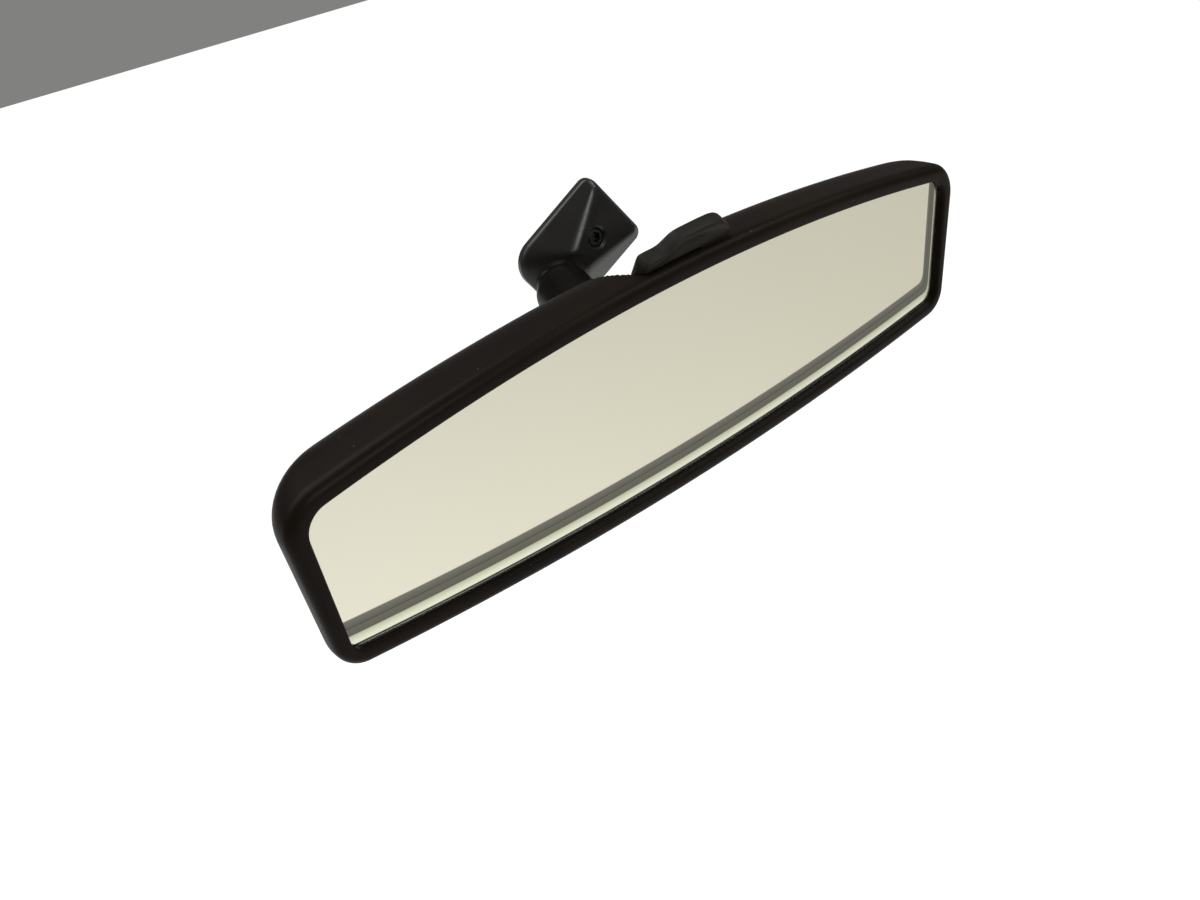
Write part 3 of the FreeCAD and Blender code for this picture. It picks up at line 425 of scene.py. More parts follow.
@dataclass(frozen=True)
class SilveredGlass:
    """Prismatic mirror: silvered field painted lighter at the left end and dimmer to the right (a painted
    falloff of reflected light), and painted bands along the bottom and the right end that stand in for the
    highlight on the lip's inner edge, the lit glass edge and the lip's wall reflected in the glass. Sizes in
    millimetres."""

    name: str
    silver_left_painted_bright: Colour = srgb(203, 201, 185)
    silver_right_painted_dim: Colour = srgb(192, 189, 171)
    bottom: float = 29.6
    bottom_arch: float = 995.0
    end_middle: float = 119.8
    end_taper: float = 0.0912
    corner: float = 5.5
    bottom_band: float = 9.4
    end_band: float = 6.4
    reach: float = 123.0

    def band_share(self, kit: ShaderKit) -> Socket:
        """How far a place is from the edge, in widths of the border of painted reflection bands.

        Args:
            kit: the material.

        Returns:
            0 at the edge, 1 where the plain field starts.
        """
        x, _, z = kit.axes()
        right = (x - HEAD.x) / MM
        up = (z - HEAD.z) / MM
        arch = right * right * (0.5 / self.bottom_arch)
        above = (up + self.bottom - arch) / self.bottom_band
        end = (up * self.end_taper + self.end_middle - right) / self.end_band
        rounded = kit.node("ShaderNodeMath", {"operation": "SMOOTH_MIN"}, {0: above, 1: end, 2: 0.55})
        return rounded

    def material(self) -> Any:
        """The material."""
        kit = ShaderKit(self.name)
        share = self.band_share(kit)
        x, _, z = kit.axes()
        # Painted reflection: the silver is painted dimmer from the left end to the right end, a falloff of
        # reflected light.
        along = (((x - HEAD.x) / MM + self.reach) / (2 * self.reach)).clamped()
        haze = kit.noise(45.0, 3.0)
        speck = kit.flecks(2.6, 0.06) * kit.noise(12.0, 2.0).most(0.52) * 0.4
        silver = kit.blend((along + haze * 0.2 - 0.1).clamped(), self.silver_left_painted_bright, self.silver_right_painted_dim)
        silver = kit.blend(speck * 0.35, silver, srgb(150, 148, 136))
        # Painted highlight and reflections, outwards from the lip: a bright line for the lip's lit inner
        # edge, a thin dark line, a light band for the lit glass edge, then a grey band for the lip's wall
        # reflected in the glass.
        painted_reflection_bands = kit.node("ShaderNodeValToRGB", {"stops": [
            (0.0, srgb(66, 66, 58)), (0.05, srgb(226, 228, 216)), (0.11, srgb(226, 228, 216)),
            (0.14, srgb(48, 48, 42)), (0.18, srgb(60, 60, 52)), (0.2, srgb(208, 211, 192)),
            (0.31, srgb(196, 199, 178)), (0.46, srgb(170, 172, 150)), (0.49, srgb(88, 88, 77)),
            (0.7, srgb(94, 93, 84)), (0.72, srgb(66, 66, 60)), (0.75, srgb(88, 87, 79)),
            (0.96, srgb(104, 102, 94)), (1.0, srgb(128, 126, 116))]},
            {0: share})
        inside = ((share - 0.97) * 30.0).clamped()
        kit.set(Base_Color=kit.blend(inside, painted_reflection_bands, silver), Metallic=1.0,
                Roughness=(inside * -0.12 + 0.16 + haze * 0.02).clamped())
        return kit.material


# ---------------------------------------------------------------- mesh kit

Loop = np.ndarray


def make_piece(name: str, points: np.ndarray, faces: Sequence[Sequence[int]], material: Any,
               body: str, finishing: Finishing = Finishing.SOFT) -> Any:
    """Mesh object that rides on a body.

    Args:
        name: piece's name.
        points: corners in metres, in the part's frame.
        faces: corner numbers of each face.
        material: its material.
        body: the body it rides on.
        finishing: soft or crisp shading.

    Returns:
        The object.
    """
    mesh = bpy.data.meshes.new(name)
    mesh.from_pydata([tuple(point) for point in points], [], [list(face) for face in faces])
    mesh.validate()
    work = bmesh.new()
    work.from_mesh(mesh)
    bmesh.ops.recalc_face_normals(work, faces=work.faces)
    work.to_mesh(mesh)
    work.free()
    piece = bpy.data.objects.new(name, mesh)
    bpy.context.scene.collection.objects.link(piece)
    mesh.materials.append(material)
    shade(piece, finishing)
    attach(piece, body)
    return piece


def shade(piece: Any, finishing: Finishing) -> None:
    """Smooth shading with sharp edges kept.

    Args:
        piece: the object.
        finishing: soft or crisp.
    """
    mesh = piece.data
    mesh.shade_smooth()
    limit = SMOOTH_ANGLE if finishing is Finishing.SOFT else SMOOTH_ANGLE / 2
    mesh.set_sharp_from_angle(angle=limit)


def carve(piece: Any, cutter: Any, operation: str = "DIFFERENCE") -> None:
    """Cut or join another solid for good, and throw the tool away.

    Args:
        piece: the solid that stays.
        cutter: the tool.
        operation: the modifier's operation.
    """
    modifier = piece.modifiers.new("carve", "BOOLEAN")
    modifier.operation = operation
    modifier.solver = "EXACT"
    modifier.object = cutter
    graph = bpy.context.evaluated_depsgraph_get()
    made = bpy.data.meshes.new_from_object(piece.evaluated_get(graph))
    piece.modifiers.clear()
    old = piece.data
    piece.data = made
    made.name = old.name
    bpy.data.meshes.remove(old)
    shape = cutter.data
    bpy.data.objects.remove(cutter)
    bpy.data.meshes.remove(shape)


def tool(points: np.ndarray, faces: Sequence[Sequence[int]]) -> Any:
    """Cutting solid that is in no piece.

    Args:
        points: corners in metres.
        faces: corner numbers of each face.

    Returns:
        The object.
    """
    mesh = bpy.data.meshes.new("tool")
    mesh.from_pydata([tuple(point) for point in points], [], [list(face) for face in faces])
    work = bmesh.new()
    work.from_mesh(mesh)
    bmesh.ops.recalc_face_normals(work, faces=work.faces)
    work.to_mesh(mesh)
    work.free()
    made = bpy.data.objects.new("tool", mesh)
    bpy.context.scene.collection.objects.link(made)
    return made


def stack(rings: Sequence[Loop], closed: bool = False) -> tuple[np.ndarray, list[list[int]]]:
    """Skin of equal rings, capped at both ends, or joined end to end.

    Args:
        rings: loops with the same number of points.
        closed: whether the last ring joins the first.

    Returns:
        Points and faces.
    """
    count = len(rings[0])
    points = np.concatenate(rings)
    faces: list[list[int]] = []
    spans = len(rings) if closed else len(rings) - 1
    for ring in range(spans):
        low = ring * count
        high = ((ring + 1) % len(rings)) * count
        for step in range(count):
            after = (step + 1) % count
            faces.append([low + step, low + after, high + after, high + step])
    if not closed:
        faces.append(list(range(count))[::-1])
        faces.append([(len(rings) - 1) * count + step for step in range(count)])
    return points, faces


def turned(profile: Sequence[tuple[float, float]], base: Vector, axis: Vector,
           sides: int = 64) -> tuple[np.ndarray, list[list[int]]]:
    """Turned solid.

    Args:
        profile: (along, radius) steps in metres.
        base: where along is 0.
        axis: its direction.
        sides: points round it.

    Returns:
        Points and faces.
    """
    turn = axis.normalized().to_track_quat("Z", "Y").to_matrix()
    angles = np.linspace(0, 2 * math.pi, sides, endpoint=False)
    ring = np.stack([np.cos(angles), np.sin(angles), np.zeros(sides)], 1)
    rings = []
    for along, radius in profile:
        local = ring * radius + np.array([0, 0, along])
        rings.append(local @ np.array(turn).T + np.array(base))
    return stack(rings)


@dataclass
class Arch:
    """Head outline: two shallow arches, two sloping ends and round corners, in millimetres."""

    half_upper: float
    half_lower: float
    top: float
    bottom: float
    arch_upper: float
    arch_lower: float
    corner_upper: float
    corner_lower: float

    def drawn_in(self, inset: float, end_extra: float = 0.0, ease: float = 0.16) -> "Arch":
        """The same outline, smaller.

        Args:
            inset: how far every side moves in.
            end_extra: how much further the ends move.
            ease: how fast the corner radii shrink.

        Returns:
            The new outline.
        """
        end = inset + end_extra
        return Arch(self.half_upper - end, self.half_lower - end, self.top - inset,
                    self.bottom - inset, self.arch_upper - inset, self.arch_lower - inset,
                    self.corner_upper - ease * inset, self.corner_lower - ease * inset)

    def _corner(self, side: int) -> tuple[np.ndarray, np.ndarray, np.ndarray]:
        """Right-hand corner's tangent points and centre.

        Args:
            side: 1 for the upper, -1 for the lower.

        Returns:
            The point on the end, the centre and the point on the arch.
        """
        arch, corner, centre_z = (
            (self.arch_upper, self.corner_upper, self.top - self.arch_upper) if side > 0
            else (self.arch_lower, self.corner_lower, self.arch_lower - self.bottom))
        taper = (self.half_upper - self.half_lower) / (self.top + self.bottom)
        half_mid = (self.half_upper + self.half_lower) / 2
        slant = math.hypot(1.0, taper)
        along = np.array([taper, 1.0]) / slant
        inward = np.array([-1.0, taper]) / slant
        start = np.array([half_mid, 0.0]) + inward * corner
        offset = start - np.array([0.0, centre_z])
        dot = float(offset @ along)
        travel = -dot + side * math.sqrt(dot ** 2 - float(offset @ offset) + (arch - corner) ** 2)
        centre = start + along * travel
        outward = centre - np.array([0.0, centre_z])
        outward /= np.linalg.norm(outward)
        return centre - inward * corner, centre, centre + outward * corner

    def points(self, depth: float, shares: np.ndarray, corner_steps: int = 12,
               end_steps: int = 24) -> Loop:
        """Loop of points at a depth, in the part's frame in metres.

        Args:
            depth: millimetres behind the lip's front.
            shares: places along each arch, from -1 to 1.
            corner_steps: points on a corner.
            end_steps: points on a sloping end.

        Returns:
            The loop, clockwise from the left end of the upper arch.
        """
        end_up, centre_up, arch_up = self._corner(1)
        end_low, centre_low, arch_low = self._corner(-1)
        upper = [np.array([arch_up[0] * share, 0.0]) for share in shares]
        for point in upper:
            point[1] = self.top - self.arch_upper + math.sqrt(self.arch_upper ** 2 - point[0] ** 2)
        lower = [np.array([arch_low[0] * share, 0.0]) for share in shares[::-1]]
        for point in lower:
            point[1] = self.arch_lower - self.bottom - math.sqrt(self.arch_lower ** 2 - point[0] ** 2)
        right_up = self._arc(centre_up, arch_up, end_up, corner_steps)
        right_low = self._arc(centre_low, end_low, arch_low, corner_steps)
        side = [end_up + (end_low - end_up) * step / end_steps for step in range(end_steps + 1)]
        right = right_up[1:-1] + side + right_low[1:-1]
        left = [point * np.array([-1.0, 1.0]) for point in right[::-1]]
        loop = np.array(upper + right + lower + left) * MM
        made = np.zeros((len(loop), 3))
        made[:, 0] = loop[:, 0] + HEAD.x
        made[:, 1] = depth * MM + HEAD.y
        made[:, 2] = loop[:, 1] + HEAD.z
        return made

    @staticmethod
    def _arc(centre: np.ndarray, start: np.ndarray, end: np.ndarray, steps: int) -> list[np.ndarray]:
        """Points on the shorter arc between two points.

        Args:
            centre: its centre.
            start: first point.
            end: last point.
            steps: number of spans.

        Returns:
            The points.
        """
        radius = np.linalg.norm(start - centre)
        first = math.atan2(*(start - centre)[::-1])
        last = math.atan2(*(end - centre)[::-1])
        sweep = (last - first + math.pi) % (2 * math.pi) - math.pi
        angles = [first + sweep * step / steps for step in range(steps + 1)]
        return [centre + radius * np.array([math.cos(angle), math.sin(angle)]) for angle in angles]


# ---------------------------------------------------------------- the head

@dataclass
class HeadShell:
    """Moulded housing: round bead at the front, walls that draw in to a crowned back,
    a finger scoop round the lever and a hole for the arm. Millimetres."""

    outline: Arch = field(default_factory=lambda: Arch(129.1, 120.2, 35.0, 34.3, 697.0, 999.0, 11.5, 9.0))
    opening: Arch = field(default_factory=lambda: Arch(122.5, 117.1, 29.6, 29.6, 692.0, 995.0, 7.0, 5.0))
    lip: float = 2.0
    wall: float = 2.0
    bead_round: float = 3.0
    lip_round: float = 0.8
    rim_depth: float = 4.0
    straight_depth: float = 9.5
    full_depth: float = 31.5
    end_depth: float = 30.8
    side_inset: float = 26.0
    end_inset: float = 62.0
    crown_rings: int = 34
    scoop_sides: tuple[float, float] = (-9.8, 13.8)
    scoop_front: float = 5.3
    scoop_start: float = 6.3
    scoop_flare: float = 0.53
    scoop_slope: float = 0.75
    scoop_soft: float = 0.7
    hole_radius: float = 15.0
    slot: tuple[float, float, float, float] = (-5.6, 14.0, 3.65, 13.5)
    slot_corner: float = 1.5
    slot_heights: tuple[float, float] = (26.5, 60.0)

    def shares(self) -> np.ndarray:
        """Places along the arches, close together round the lever."""
        near = np.linspace(-0.24, 0.24, 97)
        far = np.linspace(0.24, 1.0, 42)[1:]
        return np.concatenate([-far[::-1], near, far])

    def draw_in(self, depth: float, start: float, reach: float) -> float:
        """Elliptical draw-in of a wall.

        Args:
            depth: place behind the front.
            start: where the wall starts to bend.
            reach: the whole inset.

        Returns:
            The inset there.
        """
        share = max(0.0, depth - start) / (self.full_depth - start)
        return reach * (1 - math.sqrt(1 - share ** 2))

    def bead(self, shares: np.ndarray) -> list[Loop]:
        """Rings over the lip and the front bead, from inside out."""
        inner = self.opening.points(0.0, shares)
        outer = self.outline.points(0.0, shares)
        rings = [self.opening.points(self.lip, shares), self.opening.points(self.lip_round, shares)]
        width = self.outline.top - self.opening.top
        for step in range(1, 5):
            angle = math.pi / 2 * step / 4
            share = self.lip_round / width * (1 - math.cos(angle))
            rings.append(self._between(inner, outer, share, self.lip_round * (1 - math.sin(angle))))
        flat = 1 - self.bead_round / width
        for step in range(0, 10):
            angle = math.pi / 2 * step / 9
            share = flat + (1 - flat) * math.sin(angle)
            rings.append(self._between(inner, outer, share, self.bead_round * (1 - math.cos(angle))))
        return rings

    @staticmethod
    def _between(inner: Loop, outer: Loop, share: float, depth: float) -> Loop:
        """Ring between two loops, pushed back.

        Args:
            inner: loop at share 0.
            outer: loop at share 1.
            share: how far outwards.
            depth: millimetres back.

        Returns:
            The ring.
        """
        ring = inner + (outer - inner) * share
        ring[:, 1] += depth * MM
        return ring

    def walls(self, shares: np.ndarray, thickness: float) -> list[Loop]:
        """Rings from the front edge to the flat back.

        Args:
            shares: places along the arches.
            thickness: 0 for the outside, the wall's for the inside.

        Returns:
            The rings.
        """
        rings = []
        span = self.end_depth - self.rim_depth
        for step in range(self.crown_rings + 1):
            depth = self.rim_depth + span * math.sin(math.pi / 2 * step / self.crown_rings)
            side = self.draw_in(depth, self.straight_depth, self.side_inset)
            end = self.draw_in(depth, self.rim_depth, self.end_inset)
            place = self.rim_depth + (depth - self.rim_depth) * (span - thickness) / span
            loop = self.outline.drawn_in(side + thickness, end - side)
            rings.append(self.scooped(loop.points(place, shares), thickness))
        return rings

    def scooped(self, ring: Loop, thickness: float) -> Loop:
        """Ring pressed down into the finger scoop.

        Args:
            ring: its points.
            thickness: how far inside the outer surface it lies.

        Returns:
            The pressed ring.
        """
        x = (ring[:, 0] - HEAD.x) / MM
        y = (ring[:, 1] - HEAD.y) / MM
        z = (ring[:, 2] - HEAD.z) / MM
        left, right = self.scoop_sides
        spread = self.scoop_flare * (y - self.scoop_front)
        away = np.maximum(np.maximum(left - spread - x, x - right - spread), self.scoop_front - y) - thickness
        floor = self.outline.top - self.scoop_slope * (y - self.scoop_start)
        floor = floor - thickness * math.hypot(1.0, self.scoop_slope) + 5.0 * np.maximum(0.0, away + 0.5)
        soft = self.scoop_soft
        gap = np.maximum(soft - np.abs(z - floor), 0.0) / soft
        pressed = np.minimum(z, floor) - gap * gap * soft * 0.25
        ring = ring.copy()
        use = (z > 0) & (away < 4.0)
        ring[:, 2] = np.where(use, pressed, z) * MM + HEAD.z
        return ring

    def build(self, material: Any) -> Any:
        """The whole shell as one closed solid.

        Args:
            material: its finish.

        Returns:
            The piece.
        """
        shares = self.shares()
        outside = self.bead(shares) + self.walls(shares, 0.0)
        inside = [self.outline.drawn_in(self.wall).points(self.lip, shares)] + self.walls(shares, self.wall)
        rings = inside[::-1] + outside
        points, faces = stack(rings)
        shell = make_piece("housing_shell", points, faces, material, "head")
        carve(shell, self.arm_hole())
        carve(shell, self.lever_slot())
        shade(shell, Finishing.SOFT)
        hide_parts("housing")
        return shell

    def arm_hole(self) -> Any:
        """Tool for the hole in the back, with a softened edge."""
        depth = self.full_depth
        radius = self.hole_radius
        profile = [(depth - 4 * self.wall, radius), (depth - 1.6, radius), (depth - 0.9, radius + 0.3),
                   (depth - 0.5, radius + 1.0), (depth + 2.0, radius + 1.4)]
        steps = [(along * MM, wide * MM) for along, wide in profile]
        return tool(*turned(steps, HEAD, Vector((0, 1, 0)), 96))

    def lever_slot(self) -> Any:
        """Tool for the slot that the lever's neck swings in."""
        left, right, front, back = self.slot
        corner = self.slot_corner
        loop = []
        for x, y, start in ((right - corner, back - corner, 0), (left + corner, back - corner, 90),
                            (left + corner, front + corner, 180), (right - corner, front + corner, 270)):
            for step in range(7):
                angle = math.radians(start + 15 * step)
                loop.append((x + corner * math.cos(angle), y + corner * math.sin(angle)))
        rings = []
        for height in self.slot_heights:
            rings.append(np.array([[x * MM + HEAD.x, y * MM + HEAD.y, height * MM + HEAD.z]
                                   for x, y in loop]))
        return tool(*stack(rings))


# ---------------------------------------------------------------- the foot

@dataclass
class Foot:
    """Die-cast foot: thick rounded plate, soft ridges up to a sloping top, the clamp
    screw's hole, the button channel and a dish under the ball. Millimetres."""

    thin_end: float = -12.75
    ball_end: float = 26.6
    half_width: float = 14.6
    thin_corner: float = 3.6
    ball_corner: float = 9.0
    edge: float = 3.3
    roof_thin: tuple[float, float, float] = (-11.55, 11.3, 5.3)
    roof_ball: tuple[float, float, float] = (10.6, 3.9, 10.9)
    roof_corner: float = 1.6
    turn_deg: float = -15.0
    lean_deg: float = -5.2
    twist_deg: float = 145.8
    screw_pos: float = 0.6
    screw_radius: float = 3.05
    tube_radius: float = 9.5

    def frame(self) -> Matrix:
        """Turn from the foot's own axes (length, width, up from the pad) to the part's."""
        return (Matrix.Rotation(math.radians(self.turn_deg), 3, "Z")
                @ Matrix.Rotation(math.radians(self.lean_deg), 3, "X")
                @ Matrix.Rotation(math.radians(self.twist_deg), 3, "Y")
                @ Matrix.Rotation(math.radians(90), 3, "X"))

    def placed(self, loop: Iterable[Sequence[float]]) -> Loop:
        """Points from the foot's own axes to the part's, in metres."""
        return (np.array(list(loop)) * MM) @ np.array(self.frame()).T

    def rounded(self, corners: Sequence[tuple[float, float]], radii: Sequence[float],
                steps: int = 12, spans: int = 10) -> np.ndarray:
        """Plan outline with rounded corners, the same number of points for any sizes.

        Args:
            corners: in order round the outline.
            radii: one for each corner.
            steps: spans on a corner.
            spans: spans on a straight.

        Returns:
            The points.
        """
        made: list[np.ndarray] = []
        count = len(corners)
        arcs = []
        for index in range(count):
            here = np.array(corners[index])
            before = np.array(corners[index - 1]) - here
            after = np.array(corners[(index + 1) % count]) - here
            before = before / np.linalg.norm(before)
            after = after / np.linalg.norm(after)
            half = math.acos(float(before @ after)) / 2
            centre = here + (before + after) / np.linalg.norm(before + after) * radii[index] / math.sin(half)
            reach = radii[index] / math.tan(half)
            arcs.append(Arch._arc(centre, here + before * reach, here + after * reach, steps))
        for index in range(count):
            made.extend(arcs[index])
            start, end = arcs[index][-1], arcs[(index + 1) % count][0]
            for step in range(1, spans):
                made.append(start + (end - start) * step / spans)
        return np.array(made)

    def plan(self, grow: float = 0.0) -> np.ndarray:
        """Foot's outline seen from above, grown or shrunk."""
        low, high, half = self.thin_end - grow, self.ball_end + grow, self.half_width + grow
        return self.rounded([(low, -half), (high, -half), (high, half), (low, half)],
                            [self.thin_corner + grow, self.ball_corner + grow,
                             self.ball_corner + grow, self.thin_corner + grow])

    def roof(self) -> np.ndarray:
        """Sloping top's outline with its heights."""
        thin, thin_half, thin_high = self.roof_thin
        ball, ball_half, ball_high = self.roof_ball
        flat = self.rounded([(thin, -thin_half), (ball, -ball_half), (ball, ball_half), (thin, thin_half)],
                            [self.roof_corner] * 4)
        rise = (ball_high - thin_high) / (ball - thin)
        return np.column_stack([flat, thin_high + (flat[:, 0] - thin) * rise])

    def rings(self) -> list[Loop]:
        """Rings from the pad face up to the sloping top."""
        base = self.plan()
        made = [np.column_stack([self.plan(-0.4), np.zeros(len(base))]),
                np.column_stack([base, np.full(len(base), 0.4)])]
        shoulder = np.column_stack([base, np.full(len(base), self.edge)])
        roof = self.roof()
        middle = roof.mean(0)
        low = shoulder - np.array([0, 0, 1.0])
        first = shoulder + (roof - shoulder) * 0.12
        for share in np.linspace(0, 1, 7):
            made.append((1 - share) ** 2 * low + 2 * share * (1 - share) * shoulder + share ** 2 * first)
        before = shoulder + (roof - shoulder) * 0.80
        beyond = roof + (middle - roof) * 0.24
        for share in np.linspace(0.2, 0.8, 4):
            made.append(first + (before - first) * share)
        for share in np.linspace(0, 1, 9):
            made.append((1 - share) ** 2 * before + 2 * share * (1 - share) * roof + share ** 2 * beyond)
        return [self.placed(ring) for ring in made]

    def screw_axis(self) -> tuple[Vector, Vector]:
        """Top and downward direction of the clamp screw's hole."""
        thin, _, thin_high = self.roof_thin
        ball, _, ball_high = self.roof_ball
        rise = (ball_high - thin_high) / (ball - thin)
        top = Vector((self.screw_pos, 0, thin_high + (self.screw_pos - thin) * rise)) * MM
        down = Vector((rise, 0, -1)).normalized()
        turn = self.frame()
        return turn @ top, turn @ down

    def build(self, material: Any) -> Any:
        """The foot as one closed solid.

        Args:
            material: its finish.

        Returns:
            The piece.
        """
        foot = make_piece("foot_casting", *stack(self.rings()), material, "mount")
        top, down = self.screw_axis()
        radius = self.screw_radius * MM
        hole = [(-2 * MM, radius + 2.2 * MM), (0.05 * MM, radius + 0.95 * MM), (0.4 * MM, radius + 0.5 * MM),
                (0.9 * MM, radius + 0.1 * MM), (1.3 * MM, radius), (20 * MM, radius)]
        carve(foot, tool(*turned(hole, top, down, 64)))
        carve(foot, self.channel())
        boss = self.boss()
        carve(foot, boss, "UNION")
        carve(foot, self.dish())
        shade(foot, Finishing.SOFT)
        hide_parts("mount_foot")
        return foot

    def channel(self) -> Any:
        """Tool for the dovetail channel, open at the thin end."""
        rings = []
        for along in (-14.75, 12.75):
            rings.append(self.placed([(along, -9.5, -0.05), (along, -11.0, 3.2), (along, 11.0, 3.2),
                                      (along, 9.5, -0.05)]))
        return tool(*stack(rings))

    def arm_axis(self) -> Vector:
        """Direction from the foot's ball to the mirror's ball."""
        return (joint_place("mirror_ball_yaw") - FOOT_BALL).normalized()

    def boss(self) -> Any:
        """Solid for the boss that the stud stands in."""
        steps = [(9.6 * MM, 4.8 * MM), (12.0 * MM, 5.3 * MM), (15.6 * MM, 6.6 * MM)]
        return tool(*turned(steps, FOOT_BALL, -self.arm_axis(), 64))

    def dish(self) -> Any:
        """Tool for the dish that clears the tube's end."""
        radius = (self.tube_radius + 0.5) * MM
        angles = np.linspace(0.01, math.pi - 0.01, 49)
        steps = [(-radius * math.cos(angle), radius * math.sin(angle)) for angle in angles]
        return tool(*turned(steps, FOOT_BALL, Vector((0, 0, 1)), 96))


# ---------------------------------------------------------------- the lever

@dataclass
class Lever:
    """Day/night lever: sculpted finger paddle with a low shoulder and a high crown, its
    neck, barrel and two crank arms. Millimetres from its pivot, upright: along the head,
    thickness towards the windscreen, height."""

    lean_deg: float = 28.0
    crest: tuple[tuple[float, float], ...] = (
        (-9.5, 15.0), (-8.4, 15.9), (-6.0, 16.1), (-3.4, 16.1), (-1.6, 16.4), (0.0, 17.5), (1.6, 18.8),
        (3.4, 19.5), (6.0, 19.7), (12.0, 19.8), (16.5, 19.7), (18.8, 19.1), (20.8, 17.9), (22.6, 16.2),
        (24.2, 14.2))
    front: float = -2.5
    back: float = 2.5
    foot_line: tuple[tuple[float, float], ...] = ((-2.5, 12.7), (0.2, 11.8), (2.5, 7.1))
    heel_end: float = 12.6
    dish: float = 1.0
    end_round: float = 1.3
    neck: tuple[float, float, float] = (-5.0, 13.4, 1.3)
    barrel: tuple[float, float] = (2.6, 14.0)
    crank: tuple[float, float, float] = (7.2, 10.2, 2.1)
    bore: float = 1.27
    heel_blend: float = 1.2
    dish_start: float = -8.0
    dish_run: float = 30.0
    crest_drop: float = 0.3
    crest_step: float = 0.5
    face_shares: tuple[float, ...] = (0.3, 0.45, 0.6, 0.75)
    neck_height: float = 15.0
    bore_overcut: float = 2.0

    def crest_height(self, x: float) -> float:
        """Smooth top line.

        Args:
            x: place along the head.

        Returns:
            The height there.
        """
        places = np.array([point[0] for point in self.crest])
        heights = np.array([point[1] for point in self.crest])
        offsets = np.linspace(-1.0, 1.0, 9)
        weights = np.cos(offsets * math.pi / 2) ** 2
        return float(np.interp(x + offsets * 1.1, places, heights) @ weights / weights.sum())

    @staticmethod
    def eased(corners: Sequence[Sequence[float]], radii: Sequence[float], steps: int = 6) -> np.ndarray:
        """Loop whose corners are rounded by short parabolas.

        Args:
            corners: (thickness, height) corners in order.
            radii: how far each rounding reaches.
            steps: spans on each.

        Returns:
            The points.
        """
        points = np.array(corners, dtype=float)
        made = []
        for index, corner in enumerate(points):
            before = points[index - 1] - corner
            after = points[(index + 1) % len(points)] - corner
            reach_in = min(radii[index], 0.48 * float(np.linalg.norm(before)))
            reach_out = min(radii[index], 0.48 * float(np.linalg.norm(after)))
            start = corner + before / np.linalg.norm(before) * reach_in
            end = corner + after / np.linalg.norm(after) * reach_out
            for share in np.linspace(0, 1, steps + 1):
                made.append((1 - share) ** 2 * start + 2 * share * (1 - share) * corner + share ** 2 * end)
        return np.array(made)

    def section(self, x: float) -> np.ndarray:
        """Paddle's section at a place.

        Args:
            x: place along the head.

        Returns:
            (thickness, height) points.
        """
        top = self.crest_height(x)
        low_front, low_mid, low_back = (np.array(point) for point in self.foot_line)
        lift = min(1.0, max(0.0, (x - self.heel_end) / self.heel_blend))
        low_back = low_back + (0.0, lift * (low_front[1] - low_back[1]))
        low_mid = low_mid + (0.0, lift * (low_front[1] - low_mid[1]))
        share_along = min(1.0, max(0.0, (x - self.dish_start) / self.dish_run))
        hollow = self.dish * math.sin(math.pi * share_along) ** 2
        drop = self.crest_drop
        span = top - low_front[1]
        face = [(self.front + hollow * math.sin(math.pi * share), top - drop - (span - drop) * share)
                for share in self.face_shares]
        corners = [low_back, (self.back, top), (self.front + self.crest_step, top - drop), *face,
                   low_front, low_mid]
        return self.eased(corners, [0.5, 1.0, 2.0, 0.6, 0.6, 0.6, 0.6, 0.7, 0.5])

    def upright(self, loop: np.ndarray, x: float) -> np.ndarray:
        """Section's points in the part's frame, in metres, with the lever's lean.

        Args:
            loop: (thickness, height) points.
            x: place along the head.

        Returns:
            The placed points.
        """
        lean = math.radians(self.lean_deg)
        pivot = joint_place("lever_flip")
        made = np.zeros((len(loop), 3))
        made[:, 0] = x
        made[:, 1] = loop[:, 0] * math.cos(lean) - loop[:, 1] * math.sin(lean)
        made[:, 2] = loop[:, 0] * math.sin(lean) + loop[:, 1] * math.cos(lean)
        return made * MM + np.array(pivot)

    def paddle(self) -> tuple[np.ndarray, list[list[int]]]:
        """Skin of the finger paddle."""
        low, high = self.crest[0][0], self.crest[-1][0]
        inner = np.linspace(low + self.end_round, high - self.end_round, 64)
        rings = []
        for share in np.linspace(0.0, 1.0, 6):
            rings.append((low + self.end_round * (1 - math.cos(math.pi / 2 * share)), share))
        rings += [(place, 1.0) for place in inner[1:-1]]
        for share in np.linspace(1.0, 0.0, 6):
            rings.append((high - self.end_round * (1 - math.cos(math.pi / 2 * share)), share))
        made = []
        for place, share in rings:
            inset = self.end_round * (1 - math.sin(math.pi / 2 * max(share, 0.12)))
            loop = self.section(min(max(place, low + 0.2), high - 0.2))
            foot = np.array([(loop[:, 0].max() + loop[:, 0].min()) / 2, loop[:, 1].min()])
            reach = np.array([(loop[:, 0].max() - loop[:, 0].min()) / 2, float(np.ptp(loop[:, 1]))])
            loop = foot + (loop - foot) * (1 - inset / reach)
            made.append(self.upright(loop, place))
        return stack(made)

    def bar(self, corners: Sequence[tuple[float, float]], low: float, high: float) -> Any:
        """Plain bar for joining, softened at its corners.

        Args:
            corners: (thickness, height) outline.
            low: its left end.
            high: its right end.

        Returns:
            The tool.
        """
        loop = self.eased(corners, [0.3] * len(corners), 3)
        return tool(*stack([self.upright(loop, place) for place in (low, high)]))

    @staticmethod
    def round_bar(radius: float, half: float, centre: Vector) -> Any:
        """Turned bar along the head.

        Args:
            radius: millimetres.
            half: half its length in millimetres.
            centre: its middle in metres.

        Returns:
            The tool.
        """
        ease = 0.2
        steps = [(-half, radius - ease), (-half + ease, radius), (half - ease, radius), (half, radius - ease)]
        outline = [(along * MM, wide * MM) for along, wide in steps]
        return tool(*turned(outline, centre, Vector((1, 0, 0)), 48))

